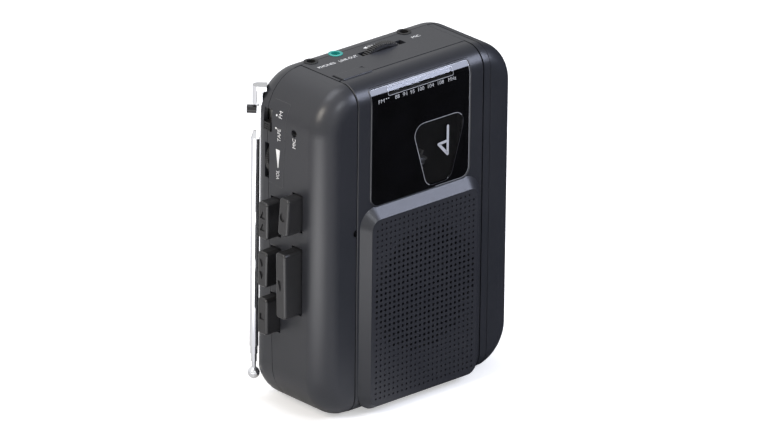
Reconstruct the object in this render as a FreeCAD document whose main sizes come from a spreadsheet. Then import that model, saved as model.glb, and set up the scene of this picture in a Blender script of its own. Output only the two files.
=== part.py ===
import FreeCAD, Part
import Sketcher
import math
import os
import re
from FreeCAD import Placement, Rotation, Vector

# Portable cassette player with a radio, standing upright.
# Row frame: X to the right, Y to the back, Z up; the origin is the centre of the base.

doc = FreeCAD.newDocument("CassettePlayer")

# ---------------------------------------------------------------- driving dimensions, in mm
DIMENSIONS = {
    "Case": {
        "case_width": 102,
        "case_height": 138.5,
        "case_depth": 43,
        "corner_round": 18,
        "front_round": 9,
        "rear_round": 9,
        "case_wall": 1.8,
        "bay_wall": 1.5,
        "seam_low": 6.4,
        "seam_high": 12.0,
        "seam_gap": 0.2,
        "land_width": 3.4,
        "land_step": 0.15,
        "deck_width": 65.8,
        "screw_inset": 9,
        "screw_radius": 1.2,
        "screw_head": 2.4,
        "screw_length": 7,
    },
    "Door": {
        "door_width": 65.5,
        "door_gap": 0.5,
        "door_lip": 2.1,
        "lens_width": 51.4,
        "lens_low": 86.9,
        "lens_high": 136.0,
        "lens_thick": 1.2,
        "lens_corner": 4,
        "lens_gap": 0.12,
        "dial_low": 131.6,
        "dial_width": 34,
        "window_low": 88.2,
        "window_high": 115.5,
        "window_middle": 9.6,
        "window_wide": 28.8,
        "window_narrow": 12.6,
        "window_corner": 4.6,
        "edge_round": 0.4,
        "panel_proud": 3.5,
        "panel_width": 63,
        "panel_low": 1.5,
        "panel_high": 87,
        "panel_corner": 8,
        "rim_side": 3.4,
        "rim_top": 4.3,
        "rim_foot": 2.1,
        "rim_lip": 0.5,
        "notch_radius": 1.5,
        "notch_height": 78.1,
        "grille_thick": 1.2,
        "grille_pitch": 2.3,
        "grille_hole": 0.62,
        "grille_low": 6.8,
        "grille_reach": 26.2,
        "tab_left": 31.2,
        "tab_width": 14.8,
        "tab_depth": 5.6,
        "tab_thick": 1.9,
        "tab_proud": 0.5,
        "pin_radius": 1.5,
        "pin_length": 9,
        "lug_radius": 3.6,
        "lug_width": 5,
    },
    "Speaker": {
        "speaker_height": 47.8,
        "speaker_radius": 26,
        "speaker_flange": 1.0,
        "basket_depth": 3.2,
        "basket_radius": 11,
        "magnet_radius": 9,
        "magnet_thick": 1.2,
        "cone_wall": 0.4,
    },
    "Tape": {
        "tape_middle": 76.2,
        "tape_plane": -12.6,
        "hub_line": 3.5,
        "hub_spacing": 42.5,
        "bay_floor": -6.0,
        "floor_thick": 1.5,
        "chassis_thick": 1.0,
        "hub_radius": 2.6,
        "hub_tip": -16.9,
        "fin_reach": 4.6,
        "wheel_radius": 9,
        "wheel_thick": 2,
        "capstan_line": -22.3,
        "capstan_drop": 31.8,
        "capstan_radius": 1.0,
        "flywheel_radius": 15,
        "flywheel_thick": 3.2,
        "flywheel_hub": 6,
        "head_line": -34.6,
        "head_width": 5,
        "head_height": 12,
        "roller_radius": 4.5,
        "roller_wide": 5.6,
        "arm_reach": 15.2,
        "arm_rest": 91.5,
        "running_gap": 0.05,
        "play_gap": 0.3,
    },
    "Keys": {
        "key_proud": 7,
        "key_width": 5.5,
        "key_rear": 8.5,
        "key_front": -4.0,
        "key_slot_gap": 0.3,
        "key_flange": 0.8,
        "key_stem": 5.2,
        "key_travel": 3.5,
        "key_round": 1.4,
        "key_edge": 1.0,
        "sign_depth": 0.5,
        "arrow_wide": 2.9,
        "arrow_tall": 3.3,
        "arrow_pitch": 5.1,
        "play_tall": 4.6,
        "stop_wide": 2.6,
        "record_wide": 3.5,
    },
    "Controls": {
        "volume_radius": 8.5,
        "volume_thick": 1.8,
        "volume_proud": 0.5,
        "volume_height": 103.7,
        "volume_depth": 11.2,
        "volume_slot": 14.6,
        "switch_height": 120.6,
        "switch_slot": 9.2,
        "switch_wide": 4.6,
        "switch_depth": 11,
        "switch_knob": 3.4,
        "switch_proud": 0.5,
        "tuning_radius": 15.1,
        "tuning_thick": 3.0,
        "tuning_proud": 2.4,
        "tuning_line": 2.8,
        "tuning_depth": 5.0,
        "tuning_slot": 22.7,
        "microphone_height": 119.4,
        "microphone_depth": -4.4,
        "microphone_hole": 1.5,
    },
    "Sockets": {
        "socket_depth": 12.2,
        "socket_nose": 2.9,
        "socket_bore": 1.8,
        "socket_body": 11.5,
        "socket_wide": 8,
        "socket_drop": 1.05,
        "phones_line": -27.7,
        "output_line": -14.9,
        "mic_line": 21,
    },
    "Aerial": {
        "aerial_out": 10.5,
        "aerial_flat": 8.3,
        "aerial_pivot": 122,
        "aerial_top": 113,
        "aerial_low": 22,
        "aerial_radius": 1.75,
        "aerial_wall": 0.25,
        "aerial_step": 3.3,
        "tip_radius": 2.4,
    },
    "Power": {
        "cell_radius": 7.15,
        "cell_length": 49.2,
        "cell_pitch": 15,
        "cell_height": 13.2,
        "cell_depth": 12.0,
        "tray_wall": 1.2,
        "cover_thick": 1.2,
        "cover_width": 68,
        "cover_height": 33,
        "cover_low": 4.6,
        "motor_radius": 12,
        "motor_depth": 15,
        "motor_across": 20,
        "motor_height": 70,
        "pulley_radius": 3,
        "belt_thick": 0.8,
        "board_low": 100,
        "board_depth": 5.2,
        "board_thick": 1.2,
    },
}

sheet = doc.addObject("Spreadsheet::Sheet", "Sizes")
row = 1
for group, entries in DIMENSIONS.items():
    sheet.set(f"A{row}", group)
    row += 1
    for alias, number in entries.items():
        sheet.set(f"A{row}", alias.replace("_", " "))
        sheet.set(f"B{row}", str(number))
        sheet.setAlias(f"B{row}", alias)
        row += 1
doc.recompute()

# ---------------------------------------------------------------- bound sizes


def linked(text):
    """Turn a formula of sheet names into an expression on the sheet."""
    return re.sub(r"\b([a-z][a-z_]+)\b(?!\()", r"Sizes.\1", str(text))


def value(text):
    """Work out a formula of sheet names, in mm."""
    return float(sheet.evalExpression(linked(text)))


def bind(obj, prop, text):
    """Bind one property of an object to a formula of sheet names."""
    obj.setExpression(prop, linked(text))


def bind_position(obj, x, y, z):
    """Bind the three coordinates of an object's placement."""
    bind(obj, ".Placement.Base.x", x)
    bind(obj, ".Placement.Base.y", y)
    bind(obj, ".Placement.Base.z", z)


# Places that several pieces share.
FRONT = "(-case_depth / 2)"
REAR = "(case_depth / 2)"
SIDE = "(case_width / 2)"
BAY_SIDE = "(door_width / 2 + door_gap)"
HINGE_Y = "(front_round - case_depth / 2)"
DOOR_BACK = "(front_round - case_depth / 2 + door_lip)"
DECK_FRONT = "(front_round - case_depth / 2 + door_lip + door_gap)"
DECK_UNDER = "(case_height - case_wall)"
PLATE_FRONT = "(bay_floor + floor_thick)"
PLATE_BACK = "(bay_floor + floor_thick + chassis_thick)"
UPPER_HUB = "(tape_middle + hub_spacing / 2)"
LOWER_HUB = "(tape_middle - hub_spacing / 2)"
CAPSTAN_Z = "(tape_middle - capstan_drop)"
GRILLE_FACE = "(-case_depth / 2 - panel_proud)"

# ---------------------------------------------------------------- shape helpers
ALONG = {
    "x": Rotation(Vector(0, 0, 1), Vector(1, 0, 0)),
    "y": Rotation(Vector(0, 0, 1), Vector(0, 1, 0)),
    "z": Rotation(),
}


def block(name, x, y, z):
    """A box between two bound corners; each span is (low, high)."""
    box = doc.addObject("Part::Box", name)
    for prop, span in (("Length", x), ("Width", y), ("Height", z)):
        bind(box, prop, f"({span[1]}) - ({span[0]})")
    bind_position(box, x[0], y[0], z[0])
    return box


def rod(name, axis, radius, start, length):
    """A cylinder that starts at a bound point and runs along +axis."""
    cylinder = doc.addObject("Part::Cylinder", name)
    cylinder.Placement = Placement(Vector(), ALONG[axis])
    bind(cylinder, "Radius", radius)
    bind(cylinder, "Height", length)
    bind_position(cylinder, *start)
    return cylinder


def taper(name, axis, first, last, start, length):
    """A cone between two radii that runs along +axis."""
    cone = doc.addObject("Part::Cone", name)
    cone.Placement = Placement(Vector(), ALONG[axis])
    bind(cone, "Radius1", first)
    bind(cone, "Radius2", last)
    bind(cone, "Height", length)
    bind_position(cone, *start)
    return cone


def ball(name, radius, centre):
    """A sphere at a bound centre."""
    sphere = doc.addObject("Part::Sphere", name)
    bind(sphere, "Radius", radius)
    bind_position(sphere, *centre)
    return sphere


def join(name, *shapes):
    """The union of several shapes."""
    fuse = doc.addObject("Part::MultiFuse", name)
    fuse.Shapes = list(shapes)
    return fuse


def cut(name, base, *tools):
    """A shape with other shapes taken away."""
    result = doc.addObject("Part::Cut", name)
    result.Base = base
    result.Tool = tools[0] if len(tools) == 1 else join(name + "_tools", *tools)
    return result


def common(name, first, second):
    """What two shapes share."""
    result = doc.addObject("Part::Common", name)
    result.Base = first
    result.Tool = second
    return result


def tube(name, axis, outer, inner, start, length):
    """A round sleeve."""
    return cut(name, rod(name + "_outer", axis, outer, start, length),
               rod(name + "_bore", axis, inner, start, length))


def group(name, *shapes):
    """Separate solids kept as one sub-part."""
    compound = doc.addObject("Part::Compound", name)
    compound.Links = list(shapes)
    return compound


def solid(name, shape):
    """A shape made with Part's own functions."""
    feature = doc.addObject("Part::Feature", name)
    feature.Shape = shape
    feature.Placement = Placement()
    return feature


def edges_on(shape, **places):
    """Names of the edges whose ends and middle lie at the given coordinates."""
    found = []
    for number, edge in enumerate(shape.Edges, 1):
        spots = [vertex.Point for vertex in edge.Vertexes]
        spots.append(edge.valueAt((edge.FirstParameter + edge.LastParameter) / 2))
        if all(abs(getattr(spot, axis) - place) < 1e-3 for spot in spots for axis, place in places.items()):
            found.append(f"Edge{number}")
    return found


def plane_of(body, role):
    """The body's own origin plane with this role."""
    return next(item for item in body.Origin.OriginFeatures if item.Role == role)


def moulding(name, x, y, z, rounds=(), chamfers=()):
    """A padded rectangle with bound edge rounds and chamfers.

    Each round or chamfer is (places, size), where places gives the coordinates of its edges.
    """
    body = doc.addObject("PartDesign::Body", name)
    sketch = body.newObject("Sketcher::SketchObject", name + "_outline")
    sketch.AttachmentSupport = [(plane_of(body, "XY_Plane"), "")]
    sketch.MapMode = "FlatFace"
    bind(sketch, ".AttachmentOffset.Base.z", z[0])
    low = Vector(value(x[0]), value(y[0]), 0)
    high = Vector(value(x[1]), value(y[1]), 0)
    corners = [low, Vector(high.x, low.y, 0), high, Vector(low.x, high.y, 0)]
    for start, end in zip(corners, corners[1:] + corners[:1]):
        sketch.addGeometry(Part.LineSegment(start, end))
    for side in range(4):
        sketch.addConstraint(Sketcher.Constraint("Coincident", side, 2, (side + 1) % 4, 1))
        sketch.addConstraint(Sketcher.Constraint(("Horizontal", "Vertical")[side % 2], side))
    bounds = (("left", "DistanceX", 0, low.x, x[0]), ("front", "DistanceY", 0, low.y, y[0]),
              ("right", "DistanceX", 2, high.x, x[1]), ("back", "DistanceY", 2, high.y, y[1]))
    for label, kind, line, number, text in bounds:
        index = sketch.addConstraint(Sketcher.Constraint(kind, -1, 1, line, 1, number))
        sketch.renameConstraint(index, label)
        bind(sketch, ".Constraints." + label, text)
    pad = body.newObject("PartDesign::Pad", name + "_pad")
    pad.Profile = sketch
    bind(pad, "Length", f"({z[1]}) - ({z[0]})")
    doc.recompute()
    last = pad
    for kind, prop, entries in (("Fillet", "Radius", rounds), ("Chamfer", "Size", chamfers)):
        for step, (places, size) in enumerate(entries):
            feature = body.newObject("PartDesign::" + kind, f"{name}_{kind.lower()}_{step}")
            numbers = {axis: value(text) for axis, text in places.items()}
            feature.Base = (last, edges_on(last.Shape, **numbers))
            bind(feature, prop, size)
            doc.recompute()
            last = feature
    body.Tip = last
    return body


SUBPARTS = []


def subpart(node, obj):
    """Give a finished piece its name and keep it for export."""
    obj.Label = node
    SUBPARTS.append((node, obj))
    return obj


# ---------------------------------------------------------------- case envelope


def envelope(name, inset):
    """The case's outer form, set in by the same amount all round."""
    left, right = f"-{SIDE} + {inset}", f"{SIDE} - {inset}"
    front, rear = f"{FRONT} + {inset}", f"{REAR} - {inset}"
    low, high = f"{inset}", f"case_height - {inset}"
    corner = f"corner_round - {inset}"
    return moulding(name, (left, right), (front, rear), (low, high), rounds=(
        ({"x": left, "z": low}, corner),
        ({"x": right, "z": low}, corner),
        ({"x": left, "z": high}, corner),
        ({"x": right, "z": high}, corner),
        ({"y": front}, f"front_round - {inset}"),
        ({"y": rear}, f"rear_round - {inset}"),
    ))


outer_form = envelope("outer_form", "0")
land_form = envelope("land_form", "land_step")
inner_form = envelope("inner_form", "case_wall")


def behind_seam(name, gap):
    """Everything more than a gap behind the parting plane, which leans back towards the top."""
    reach = value("case_width")
    low, high = value("seam_low"), value("seam_high")
    height = value("case_height")
    lean = (high - low) / height
    far = value("case_depth") * 2
    below, above = -far, height + far
    outline = [(low + lean * below + gap, below), (far, below), (far, above),
               (low + lean * above + gap, above)]
    points = [Vector(-reach, y, z) for y, z in outline]
    face = Part.Face(Part.makePolygon(points + points[:1]))
    return solid(name, face.extrude(Vector(2 * reach, 0, 0)))


rear_space = behind_seam("rear_space", 0)
shell = cut("shell", outer_form, inner_form)

# Keys: name, low end, high end and which of the two columns it stands in.
KEY_ROWS = (
    ("forward", 73.8, 89.3, "key_rear"),
    ("rewind", 53.8, 68.5, "key_rear"),
    ("stop", 33.5, 48.8, "key_rear"),
    ("record", 79.4, 94.6, "key_front"),
    ("play", 44.5, 72.2, "key_front"),
)
# How much further each key stands out at its lower and upper end.
KEY_LEAN = {"forward": (0, 0), "rewind": (0.4, 0), "stop": (0, 0), "record": (1.1, 0), "play": (1.4, 2.0)}
for key, low_end, high_end, column in KEY_ROWS:
    sheet.set(f"B{row}", str(low_end))
    sheet.setAlias(f"B{row}", key + "_low")
    sheet.set(f"B{row + 1}", str(high_end))
    sheet.setAlias(f"B{row + 1}", key + "_high")
    row += 2
doc.recompute()

key_slots = [
    block(f"{key}_slot", (f"-{SIDE} - 1", f"-{SIDE} + case_wall + 1"),
          (f"{column} - key_width - key_slot_gap", f"{column} + key_slot_gap"),
          (f"{key}_low - key_slot_gap", f"{key}_high + key_slot_gap"))
    for key, low_end, high_end, column in KEY_ROWS
]
volume_slot = block("volume_slot", (f"-{SIDE} - 1", f"-{SIDE} + case_wall + 1"),
                    ("volume_depth - volume_thick / 2 - play_gap",
                     "volume_depth + volume_thick / 2 + play_gap"),
                    ("volume_height - volume_slot / 2", "volume_height + volume_slot / 2"))
switch_slot = block("switch_slot", (f"-{SIDE} - 1", f"-{SIDE} + case_wall + 1"),
                    ("switch_depth - switch_wide / 2", "switch_depth + switch_wide / 2"),
                    ("switch_height - switch_slot / 2", "switch_height + switch_slot / 2"))
microphone_port = rod("microphone_port", "x", "microphone_hole",
                      (f"-{SIDE} - 1", "microphone_depth", "microphone_height"), "case_wall + 2")
SOCKETS = (("phones_socket", "phones_line"), ("line_out_socket", "output_line"), ("mic_socket", "mic_line"))
socket_holes = [
    rod(f"{node}_hole", "z", "socket_nose", (line, "socket_depth", f"{DECK_UNDER} - 1"), "case_wall + 2")
    for node, line in SOCKETS
]

# ---------------------------------------------------------------- end casings
FAR = "case_width"
WALL_OUT = f"({BAY_SIDE} + bay_wall + 1)"
pin_hole = rod("pin_hole", "x", "pin_radius + running_gap", (f"-{WALL_OUT}", HINGE_Y, "front_round"),
               f"2 * {WALL_OUT}")
gap_notch = rod("gap_notch", "y", "notch_radius", (f"-{BAY_SIDE}", f"{FRONT} - 1", "notch_height"),
                "case_wall + 1")
axis_clear = rod("axis_clear", "x", "front_round + door_gap", (f"-{BAY_SIDE}", HINGE_Y, "front_round"),
                 f"2 * {BAY_SIDE}")


def end_casing(name, left):
    """One end of the front case: a rounded shell with a wall beside the cassette bay."""
    sign = "-" if left else ""
    land_edge = f"({BAY_SIDE} + land_width)"

    def across(near, far):
        """The span between two distances from the middle, on this casing's side."""
        return (f"-({far})", f"-({near})") if left else (near, far)

    everywhere = ("-case_depth", "case_depth")
    tall = ("-1", "case_height + 1")
    body_zone = block(name + "_zone", across(land_edge, FAR), everywhere, tall)
    land_zone = block(name + "_land_zone", across(BAY_SIDE, land_edge), everywhere, tall)
    skin = join(name + "_skin",
                common(name + "_round", outer_form, body_zone),
                common(name + "_land", land_form, land_zone))
    hollow = block(name + "_hollow_zone", across(f"{BAY_SIDE} + bay_wall", FAR), everywhere, tall)
    opened = cut(name + "_opened", skin, common(name + "_hollow", inner_form, hollow))
    behind_bay = block(name + "_behind_bay", across(f"{BAY_SIDE} - 1", f"{BAY_SIDE} + bay_wall + 1"),
                       ("bay_floor", "case_depth"), ("case_wall", DECK_UNDER))
    tools = [rear_space, behind_bay, pin_hole] + socket_holes
    if left:
        head_window = block("head_window", across(f"{BAY_SIDE} - 1", f"{BAY_SIDE} + bay_wall + 1"),
                            ("tape_plane - head_width", "bay_floor + 1"),
                            (f"{CAPSTAN_Z} - roller_radius - 9", "tape_middle + head_height"))
        tools += key_slots + [volume_slot, switch_slot, microphone_port, head_window, gap_notch]
    return cut(name + "_body", opened, *tools)


subpart("left_casing", end_casing("left_end", True))
subpart("right_casing", end_casing("right_end", False))

# ---------------------------------------------------------------- centre frame
deck_half = "(deck_width / 2)"
tuning_slot = block("tuning_slot_cut", ("tuning_line - tuning_slot / 2", "tuning_line + tuning_slot / 2"),
                    ("tuning_depth - tuning_thick / 2 - play_gap",
                     "tuning_depth + tuning_thick / 2 + play_gap"),
                    (f"{DECK_UNDER} - 1", "case_height + 1"))
tab_notch = block("tab_notch", ("-tab_left - door_gap", "-tab_left + tab_width + door_gap"),
                  (f"{DECK_FRONT} - 1", f"{DOOR_BACK} + tab_depth + door_gap"),
                  (f"{DECK_UNDER} - 1", "case_height + 1"))
deck = block("deck", (f"-{deck_half}", deck_half), (DECK_FRONT, REAR), (DECK_UNDER, "case_height"))
bridge = block("bridge", (f"-{deck_half}", deck_half), (HINGE_Y, REAR), ("0", "case_wall"))
WEB_FRONT = f"({HINGE_Y} + front_round + door_gap + 0.1)"
SHELF = "(2 * front_round)"
floor_plate = block("floor_plate", (f"-{deck_half}", deck_half), ("bay_floor", PLATE_FRONT),
                    (f"{SHELF} - floor_thick", DECK_UNDER))
shelf = block("shelf", (f"-{deck_half}", deck_half), ("bay_floor", f"{WEB_FRONT} + floor_thick"),
              (f"{SHELF} - floor_thick", SHELF))
foot_web = block("foot_web", (f"-{deck_half}", deck_half), (WEB_FRONT, f"{WEB_FRONT} + floor_thick"),
                 ("0", SHELF))
hub_holes = [
    rod(f"hub_hole_{side}", "y", "hub_radius + fin_reach", ("hub_line", "bay_floor - 1", level),
        "floor_thick + 2")
    for side, level in (("upper", UPPER_HUB), ("lower", LOWER_HUB))
]
capstan_hole = rod("capstan_hole", "y", "capstan_radius + 2", ("capstan_line", "bay_floor - 1", CAPSTAN_Z),
                   "floor_thick + 2")
frame_blank = join("frame_blank", deck, bridge, floor_plate, shelf, foot_web)
subpart("centre_frame", cut("centre_frame_body", frame_blank, rear_space, axis_clear, tab_notch, tuning_slot,
                            capstan_hole, *hub_holes, *socket_holes))

# ---------------------------------------------------------------- rear case
CORNER_X = "(rear_round - case_width / 2)"
CORNER_Y = "(case_depth / 2 - rear_round)"


def beside_corner(name, near, far, z, half):
    """A block on the rear left corner, measured outwards along the corner's diagonal."""
    box = doc.addObject("Part::Box", name)
    turn = Rotation(Vector(0, 0, 1), 135)
    box.Placement = Placement(Vector(), turn)
    bind(box, "Length", f"({far}) - ({near})")
    bind(box, "Width", f"2 * ({half})")
    bind(box, "Height", f"({z[1]}) - ({z[0]})")
    bind_position(box, f"{CORNER_X} - (({near}) - ({half})) * 0.70710678",
                  f"{CORNER_Y} + (({near}) + ({half})) * 0.70710678", z[0])
    return box


def corner_point(out):
    """A point at a distance from the corner's centre line along its diagonal."""
    return f"{CORNER_X} - ({out}) * 0.70710678", f"{CORNER_Y} + ({out}) * 0.70710678"


corner_flat = beside_corner("corner_flat", "aerial_flat", "aerial_flat + 12", ("-1", "case_height + 1"), "14")
COVER = {
    "x": ("-cover_width / 2", "cover_width / 2"),
    "z": ("cover_low", "cover_low + cover_height"),
}
cover_recess = block("cover_recess", ("-cover_width / 2 - play_gap", FAR),
                     (f"{REAR} - cover_thick - play_gap / 2", "case_depth"),
                     ("cover_low - play_gap", "cover_low + cover_height + play_gap"))
CELL_HALF = "(cell_length / 2)"
battery_port = block("battery_port", (f"-{CELL_HALF} - 2", f"{CELL_HALF} + 2"),
                     (f"{REAR} - case_wall - 1", "case_depth"),
                     ("cell_height - cell_radius - play_gap",
                      "cell_height + cell_pitch + cell_radius + play_gap"))
TRAY_LOW = "(cell_height - cell_radius - play_gap)"
TRAY_HIGH = "(cell_height + cell_pitch + cell_radius + play_gap)"
TRAY_FRONT = "(cell_depth - cell_radius - play_gap)"
tray_outer = block("tray_outer", (f"-{CELL_HALF} - 2 - tray_wall", f"{CELL_HALF} + 2 + tray_wall"),
                   (f"{TRAY_FRONT} - tray_wall", f"{REAR} - case_wall"),
                   (f"{TRAY_LOW} - tray_wall", f"{TRAY_HIGH} + tray_wall"))
tray_inner = block("tray_inner", (f"-{CELL_HALF} - 2", f"{CELL_HALF} + 2"),
                   (TRAY_FRONT, f"{REAR} - case_wall"),
                   (TRAY_LOW, TRAY_HIGH))
SCREW_X = f"({SIDE} - screw_inset)"
SCREW_LEVELS = ("(cover_low + cover_height + screw_head + 3)", "(case_height - corner_round - screw_inset)")
screw_places = [(f"{sign}{SCREW_X}", level) for sign in ("-", "") for level in SCREW_LEVELS]
screw_sinks = [
    rod(f"screw_sink_{number}", "y", "screw_head", (x, f"{REAR} - case_wall / 2", z), "case_wall")
    for number, (x, z) in enumerate(screw_places)
]
screw_bores = [
    rod(f"screw_bore_{number}", "y", "screw_radius", (x, f"{REAR} - screw_length - 2", z), "screw_length + 3")
    for number, (x, z) in enumerate(screw_places)
]
screw_posts = [
    rod(f"screw_post_{number}", "y", "screw_head + 0.6", (x, f"{REAR} - screw_length - 1", z),
        "screw_length + 1 - case_wall / 2")
    for number, (x, z) in enumerate(screw_places)
]
rear_half = common("rear_half", outer_form, behind_seam("rear_zone", value("seam_gap")))
rear_shell = cut("rear_shell", rear_half, inner_form)
rear_tray = cut("rear_tray", join("rear_blank", rear_shell, tray_outer, *screw_posts), tray_inner)
rear_openings = [battery_port, cover_recess, corner_flat, volume_slot, switch_slot]
rear_case = subpart("rear_case", cut("rear_case_body", rear_tray, *rear_openings, *key_slots, *socket_holes,
                                     *screw_sinks, *screw_bores))

screws = []
for number, (x, z) in enumerate(screw_places):
    head = rod(f"screw_head_{number}", "y", "screw_head", (x, f"{REAR} - case_wall / 2", z),
               "case_wall / 2 - 0.2")
    shank = rod(f"screw_shank_{number}", "y", "screw_radius", (x, f"{REAR} - screw_length", z),
                "screw_length - 0.5")
    slot = block(f"screw_slot_{number}", (f"{x} - screw_head * 0.7", f"{x} + screw_head * 0.7"),
                 (f"{REAR} - case_wall / 4 - 0.2", REAR), (f"{z} - 0.3", f"{z} + 0.3"))
    screws.append(cut(f"screw_{number}", join(f"screw_blank_{number}", head, shank), slot))
subpart("case_screws", group("case_screw_set", *screws))

cover_plate = block("cover_plate", COVER["x"], (f"{REAR} - cover_thick", REAR), COVER["z"])
ribs = [
    block(f"cover_rib_{number}",
          (f"cover_width / 2 - 8 - {number} * 2.2", f"cover_width / 2 - 7 - {number} * 2.2"),
          (f"{REAR} - 0.5", f"{REAR} + 0.01"), ("cover_low + 8", "cover_low + cover_height - 8"))
    for number in range(4)
]
subpart("battery_cover", cut("battery_cover_body", cover_plate, *ribs))
cells = []
for number in range(2):
    z = f"cell_height + {number} * cell_pitch"
    side = -1 if number else 1
    can = rod(f"cell_can_{number}", "x", "cell_radius", (f"-{CELL_HALF} + 0.6", "cell_depth", z),
              "cell_length - 1.2")
    nub = rod(f"cell_nub_{number}", "x", "2.6",
              (f"-{CELL_HALF}" if side < 0 else f"{CELL_HALF} - 0.6", "cell_depth", z),
              "0.6")
    cells.append(join(f"cell_{number}", can, nub))
subpart("battery_cells", group("battery_cell_pair", *cells))
contacts = [
    block(f"contact_{side}", (f"{near}", f"{near} + 0.4"), ("cell_depth - 5", "cell_depth + 5"),
          ("cell_height - 5", "cell_height + cell_pitch + 5"))
    for side, near in (("left", f"-{CELL_HALF} - 2"), ("right", f"{CELL_HALF} + 1.6"))
]
bumps = [
    taper(f"contact_bump_{number}", "x", first, last,
          (start, "cell_depth", f"cell_height + {level} * cell_pitch"), "1.3")
    for number, (first, last, start, level) in enumerate((
        ("4", "2", f"-{CELL_HALF} - 1.6", 0), ("4", "2", f"-{CELL_HALF} - 1.6", 1),
        ("2", "4", f"{CELL_HALF} + 0.3", 0), ("2", "4", f"{CELL_HALF} + 0.3", 1)))
]
subpart("battery_contacts",
        group("battery_contact_pair", join("contact_set_left", contacts[0], bumps[0], bumps[1]),
                                  join("contact_set_right", contacts[1], bumps[2], bumps[3])))

# ---------------------------------------------------------------- door
door_x = ("-door_width / 2", "door_width / 2")


def door_form(name, inset, ends=False):
    """The door's outline from base to deck, rounded at both front corners and, if asked, at its ends."""
    front, low, high = f"{FRONT} + {inset}", f"{inset}", f"case_height - {inset}"
    radius = f"front_round - {inset}"
    rounds = [({"y": front, "z": low}, radius), ({"y": front, "z": high}, radius)]
    if ends:
        rounds += [({"x": door_x[0]}, "edge_round"), ({"x": door_x[1]}, "edge_round")]
    return moulding(name, door_x, (front, DOOR_BACK), (low, high), rounds=rounds)


door_outer = door_form("door_outer", "0", ends=True)
door_inner = door_form("door_inner", "case_wall")
lens_inner = door_form("lens_inner", "lens_thick")
lens_seat = door_form("lens_seat", "lens_thick - 0.02")


def rounded_loop(x, z, corner, y):
    """A rounded rectangle in the plane at this depth."""
    (left, right), (low, high) = x, z
    centres = ((right - corner, high - corner, 0), (left + corner, high - corner, 90),
               (left + corner, low + corner, 180), (right - corner, low + corner, 270))
    arcs = []
    for centre_x, centre_z, start in centres:
        spots = [Vector(centre_x + corner * math.cos(math.radians(start + turn)), y,
                        centre_z + corner * math.sin(math.radians(start + turn))) for turn in (0, 45, 90)]
        arcs.append(Part.Arc(*spots).toShape())
    edges = []
    for arc, following in zip(arcs, arcs[1:] + arcs[:1]):
        edges += [arc, Part.makeLine(arc.Vertexes[-1].Point, following.Vertexes[0].Point)]
    return Part.Wire(edges)


# Raised loudspeaker panel: a sloping rim round a flat face.
panel_half = value("panel_width") / 2
face_half = panel_half - value("rim_side")
face_low = value("panel_low") + value("rim_foot")
face_high = value("panel_high") - value("rim_top")
face_corner = value("panel_corner") - value("rim_side")
panel_foot = value(FRONT)
rim_foot_loop = rounded_loop((-panel_half, panel_half), (value("panel_low"), value("panel_high")),
                             value("panel_corner"), panel_foot)
rim_face_loop = rounded_loop((-face_half, face_half), (face_low, face_high), face_corner, value(GRILLE_FACE))
panel_rim = solid("panel_rim", Part.makeLoft([rim_foot_loop, rim_face_loop], True, True))
panel_base = solid("panel_base", Part.Face(rim_foot_loop).extrude(Vector(0, value("case_wall") / 2, 0)))
RIM = "(rim_side + rim_lip)"
CORNER = "(panel_corner - rim_side - rim_lip)"


def panel_opening(name, extra, y):
    """The space inside the panel's rim."""
    left, right = f"-panel_width / 2 + {RIM} + {extra}", f"panel_width / 2 - {RIM} - {extra}"
    low, high = f"panel_low + rim_foot + rim_lip + {extra}", f"panel_high - rim_top - rim_lip - {extra}"
    return moulding(name, (left, right), y, (low, high),
                    rounds=(({"x": left, "z": low}, CORNER), ({"x": right, "z": low}, CORNER),
                            ({"x": left, "z": high}, CORNER), ({"x": right, "z": high}, CORNER)))


grille_seat = panel_opening("grille_seat", "0", (f"{GRILLE_FACE} - 1", f"{GRILLE_FACE} + grille_thick"))
grille_back = panel_opening("grille_back", "1", (f"{GRILLE_FACE} + grille_thick", f"{FRONT} + case_wall + 1"))
lens_x = ("-lens_width / 2", "lens_width / 2")
lens_tool = moulding("lens_tool", lens_x, (f"{FRONT} - 1", HINGE_Y), ("lens_low", "lens_high"),
                     rounds=(({"x": lens_x[0], "z": "lens_low"}, "lens_corner"),
                             ({"x": lens_x[1], "z": "lens_low"}, "lens_corner")))
pane_x = ("-lens_width / 2 + lens_gap", "lens_width / 2 - lens_gap")
pane_tool = moulding("pane_tool", pane_x, (f"{FRONT} - 1", HINGE_Y),
                     ("lens_low + lens_gap", "lens_high - lens_gap"),
                     rounds=(({"x": pane_x[0], "z": "lens_low + lens_gap"}, "lens_corner"),
                             ({"x": pane_x[1], "z": "lens_low + lens_gap"}, "lens_corner")))
lens_blank = cut("lens_blank", common("lens_zone", door_outer, pane_tool), lens_seat)
middle, wide, narrow = value("window_middle"), value("window_wide") / 2, value("window_narrow") / 2
window_low, window_high = value("window_low"), value("window_high")


def window_shape(name):
    """The clear window: wide above, narrow below, with rounded corners."""
    outline = [(middle - narrow, window_low), (middle + narrow, window_low),
               (middle + wide, window_high), (middle - wide, window_high)]
    points = [Vector(x, value(FRONT) - 1, z) for x, z in outline]
    face = Part.Face(Part.makePolygon(points + points[:1]))
    pane = face.extrude(Vector(0, value("case_wall") + 2, 0))
    corners = [edge for edge in pane.Edges if abs(edge.tangentAt(edge.FirstParameter).y) > 0.99]
    return solid(name, pane.makeFillet(value("window_corner"), corners))


window_port = window_shape("window_port")
dial_port = block("dial_port", ("-dial_width / 2", "dial_width / 2"), (f"{FRONT} - 1", f"{HINGE_Y} - 1"),
                  ("dial_low", "lens_high - 1.2"))
clear_panes = join("clear_panes", window_port, dial_port)
subpart("door_lens", cut("door_lens_body", lens_blank, clear_panes))
pane_blank = common("pane_blank", lens_blank, clear_panes)
subpart("door_windows", group("door_window_panes", pane_blank))

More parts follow.
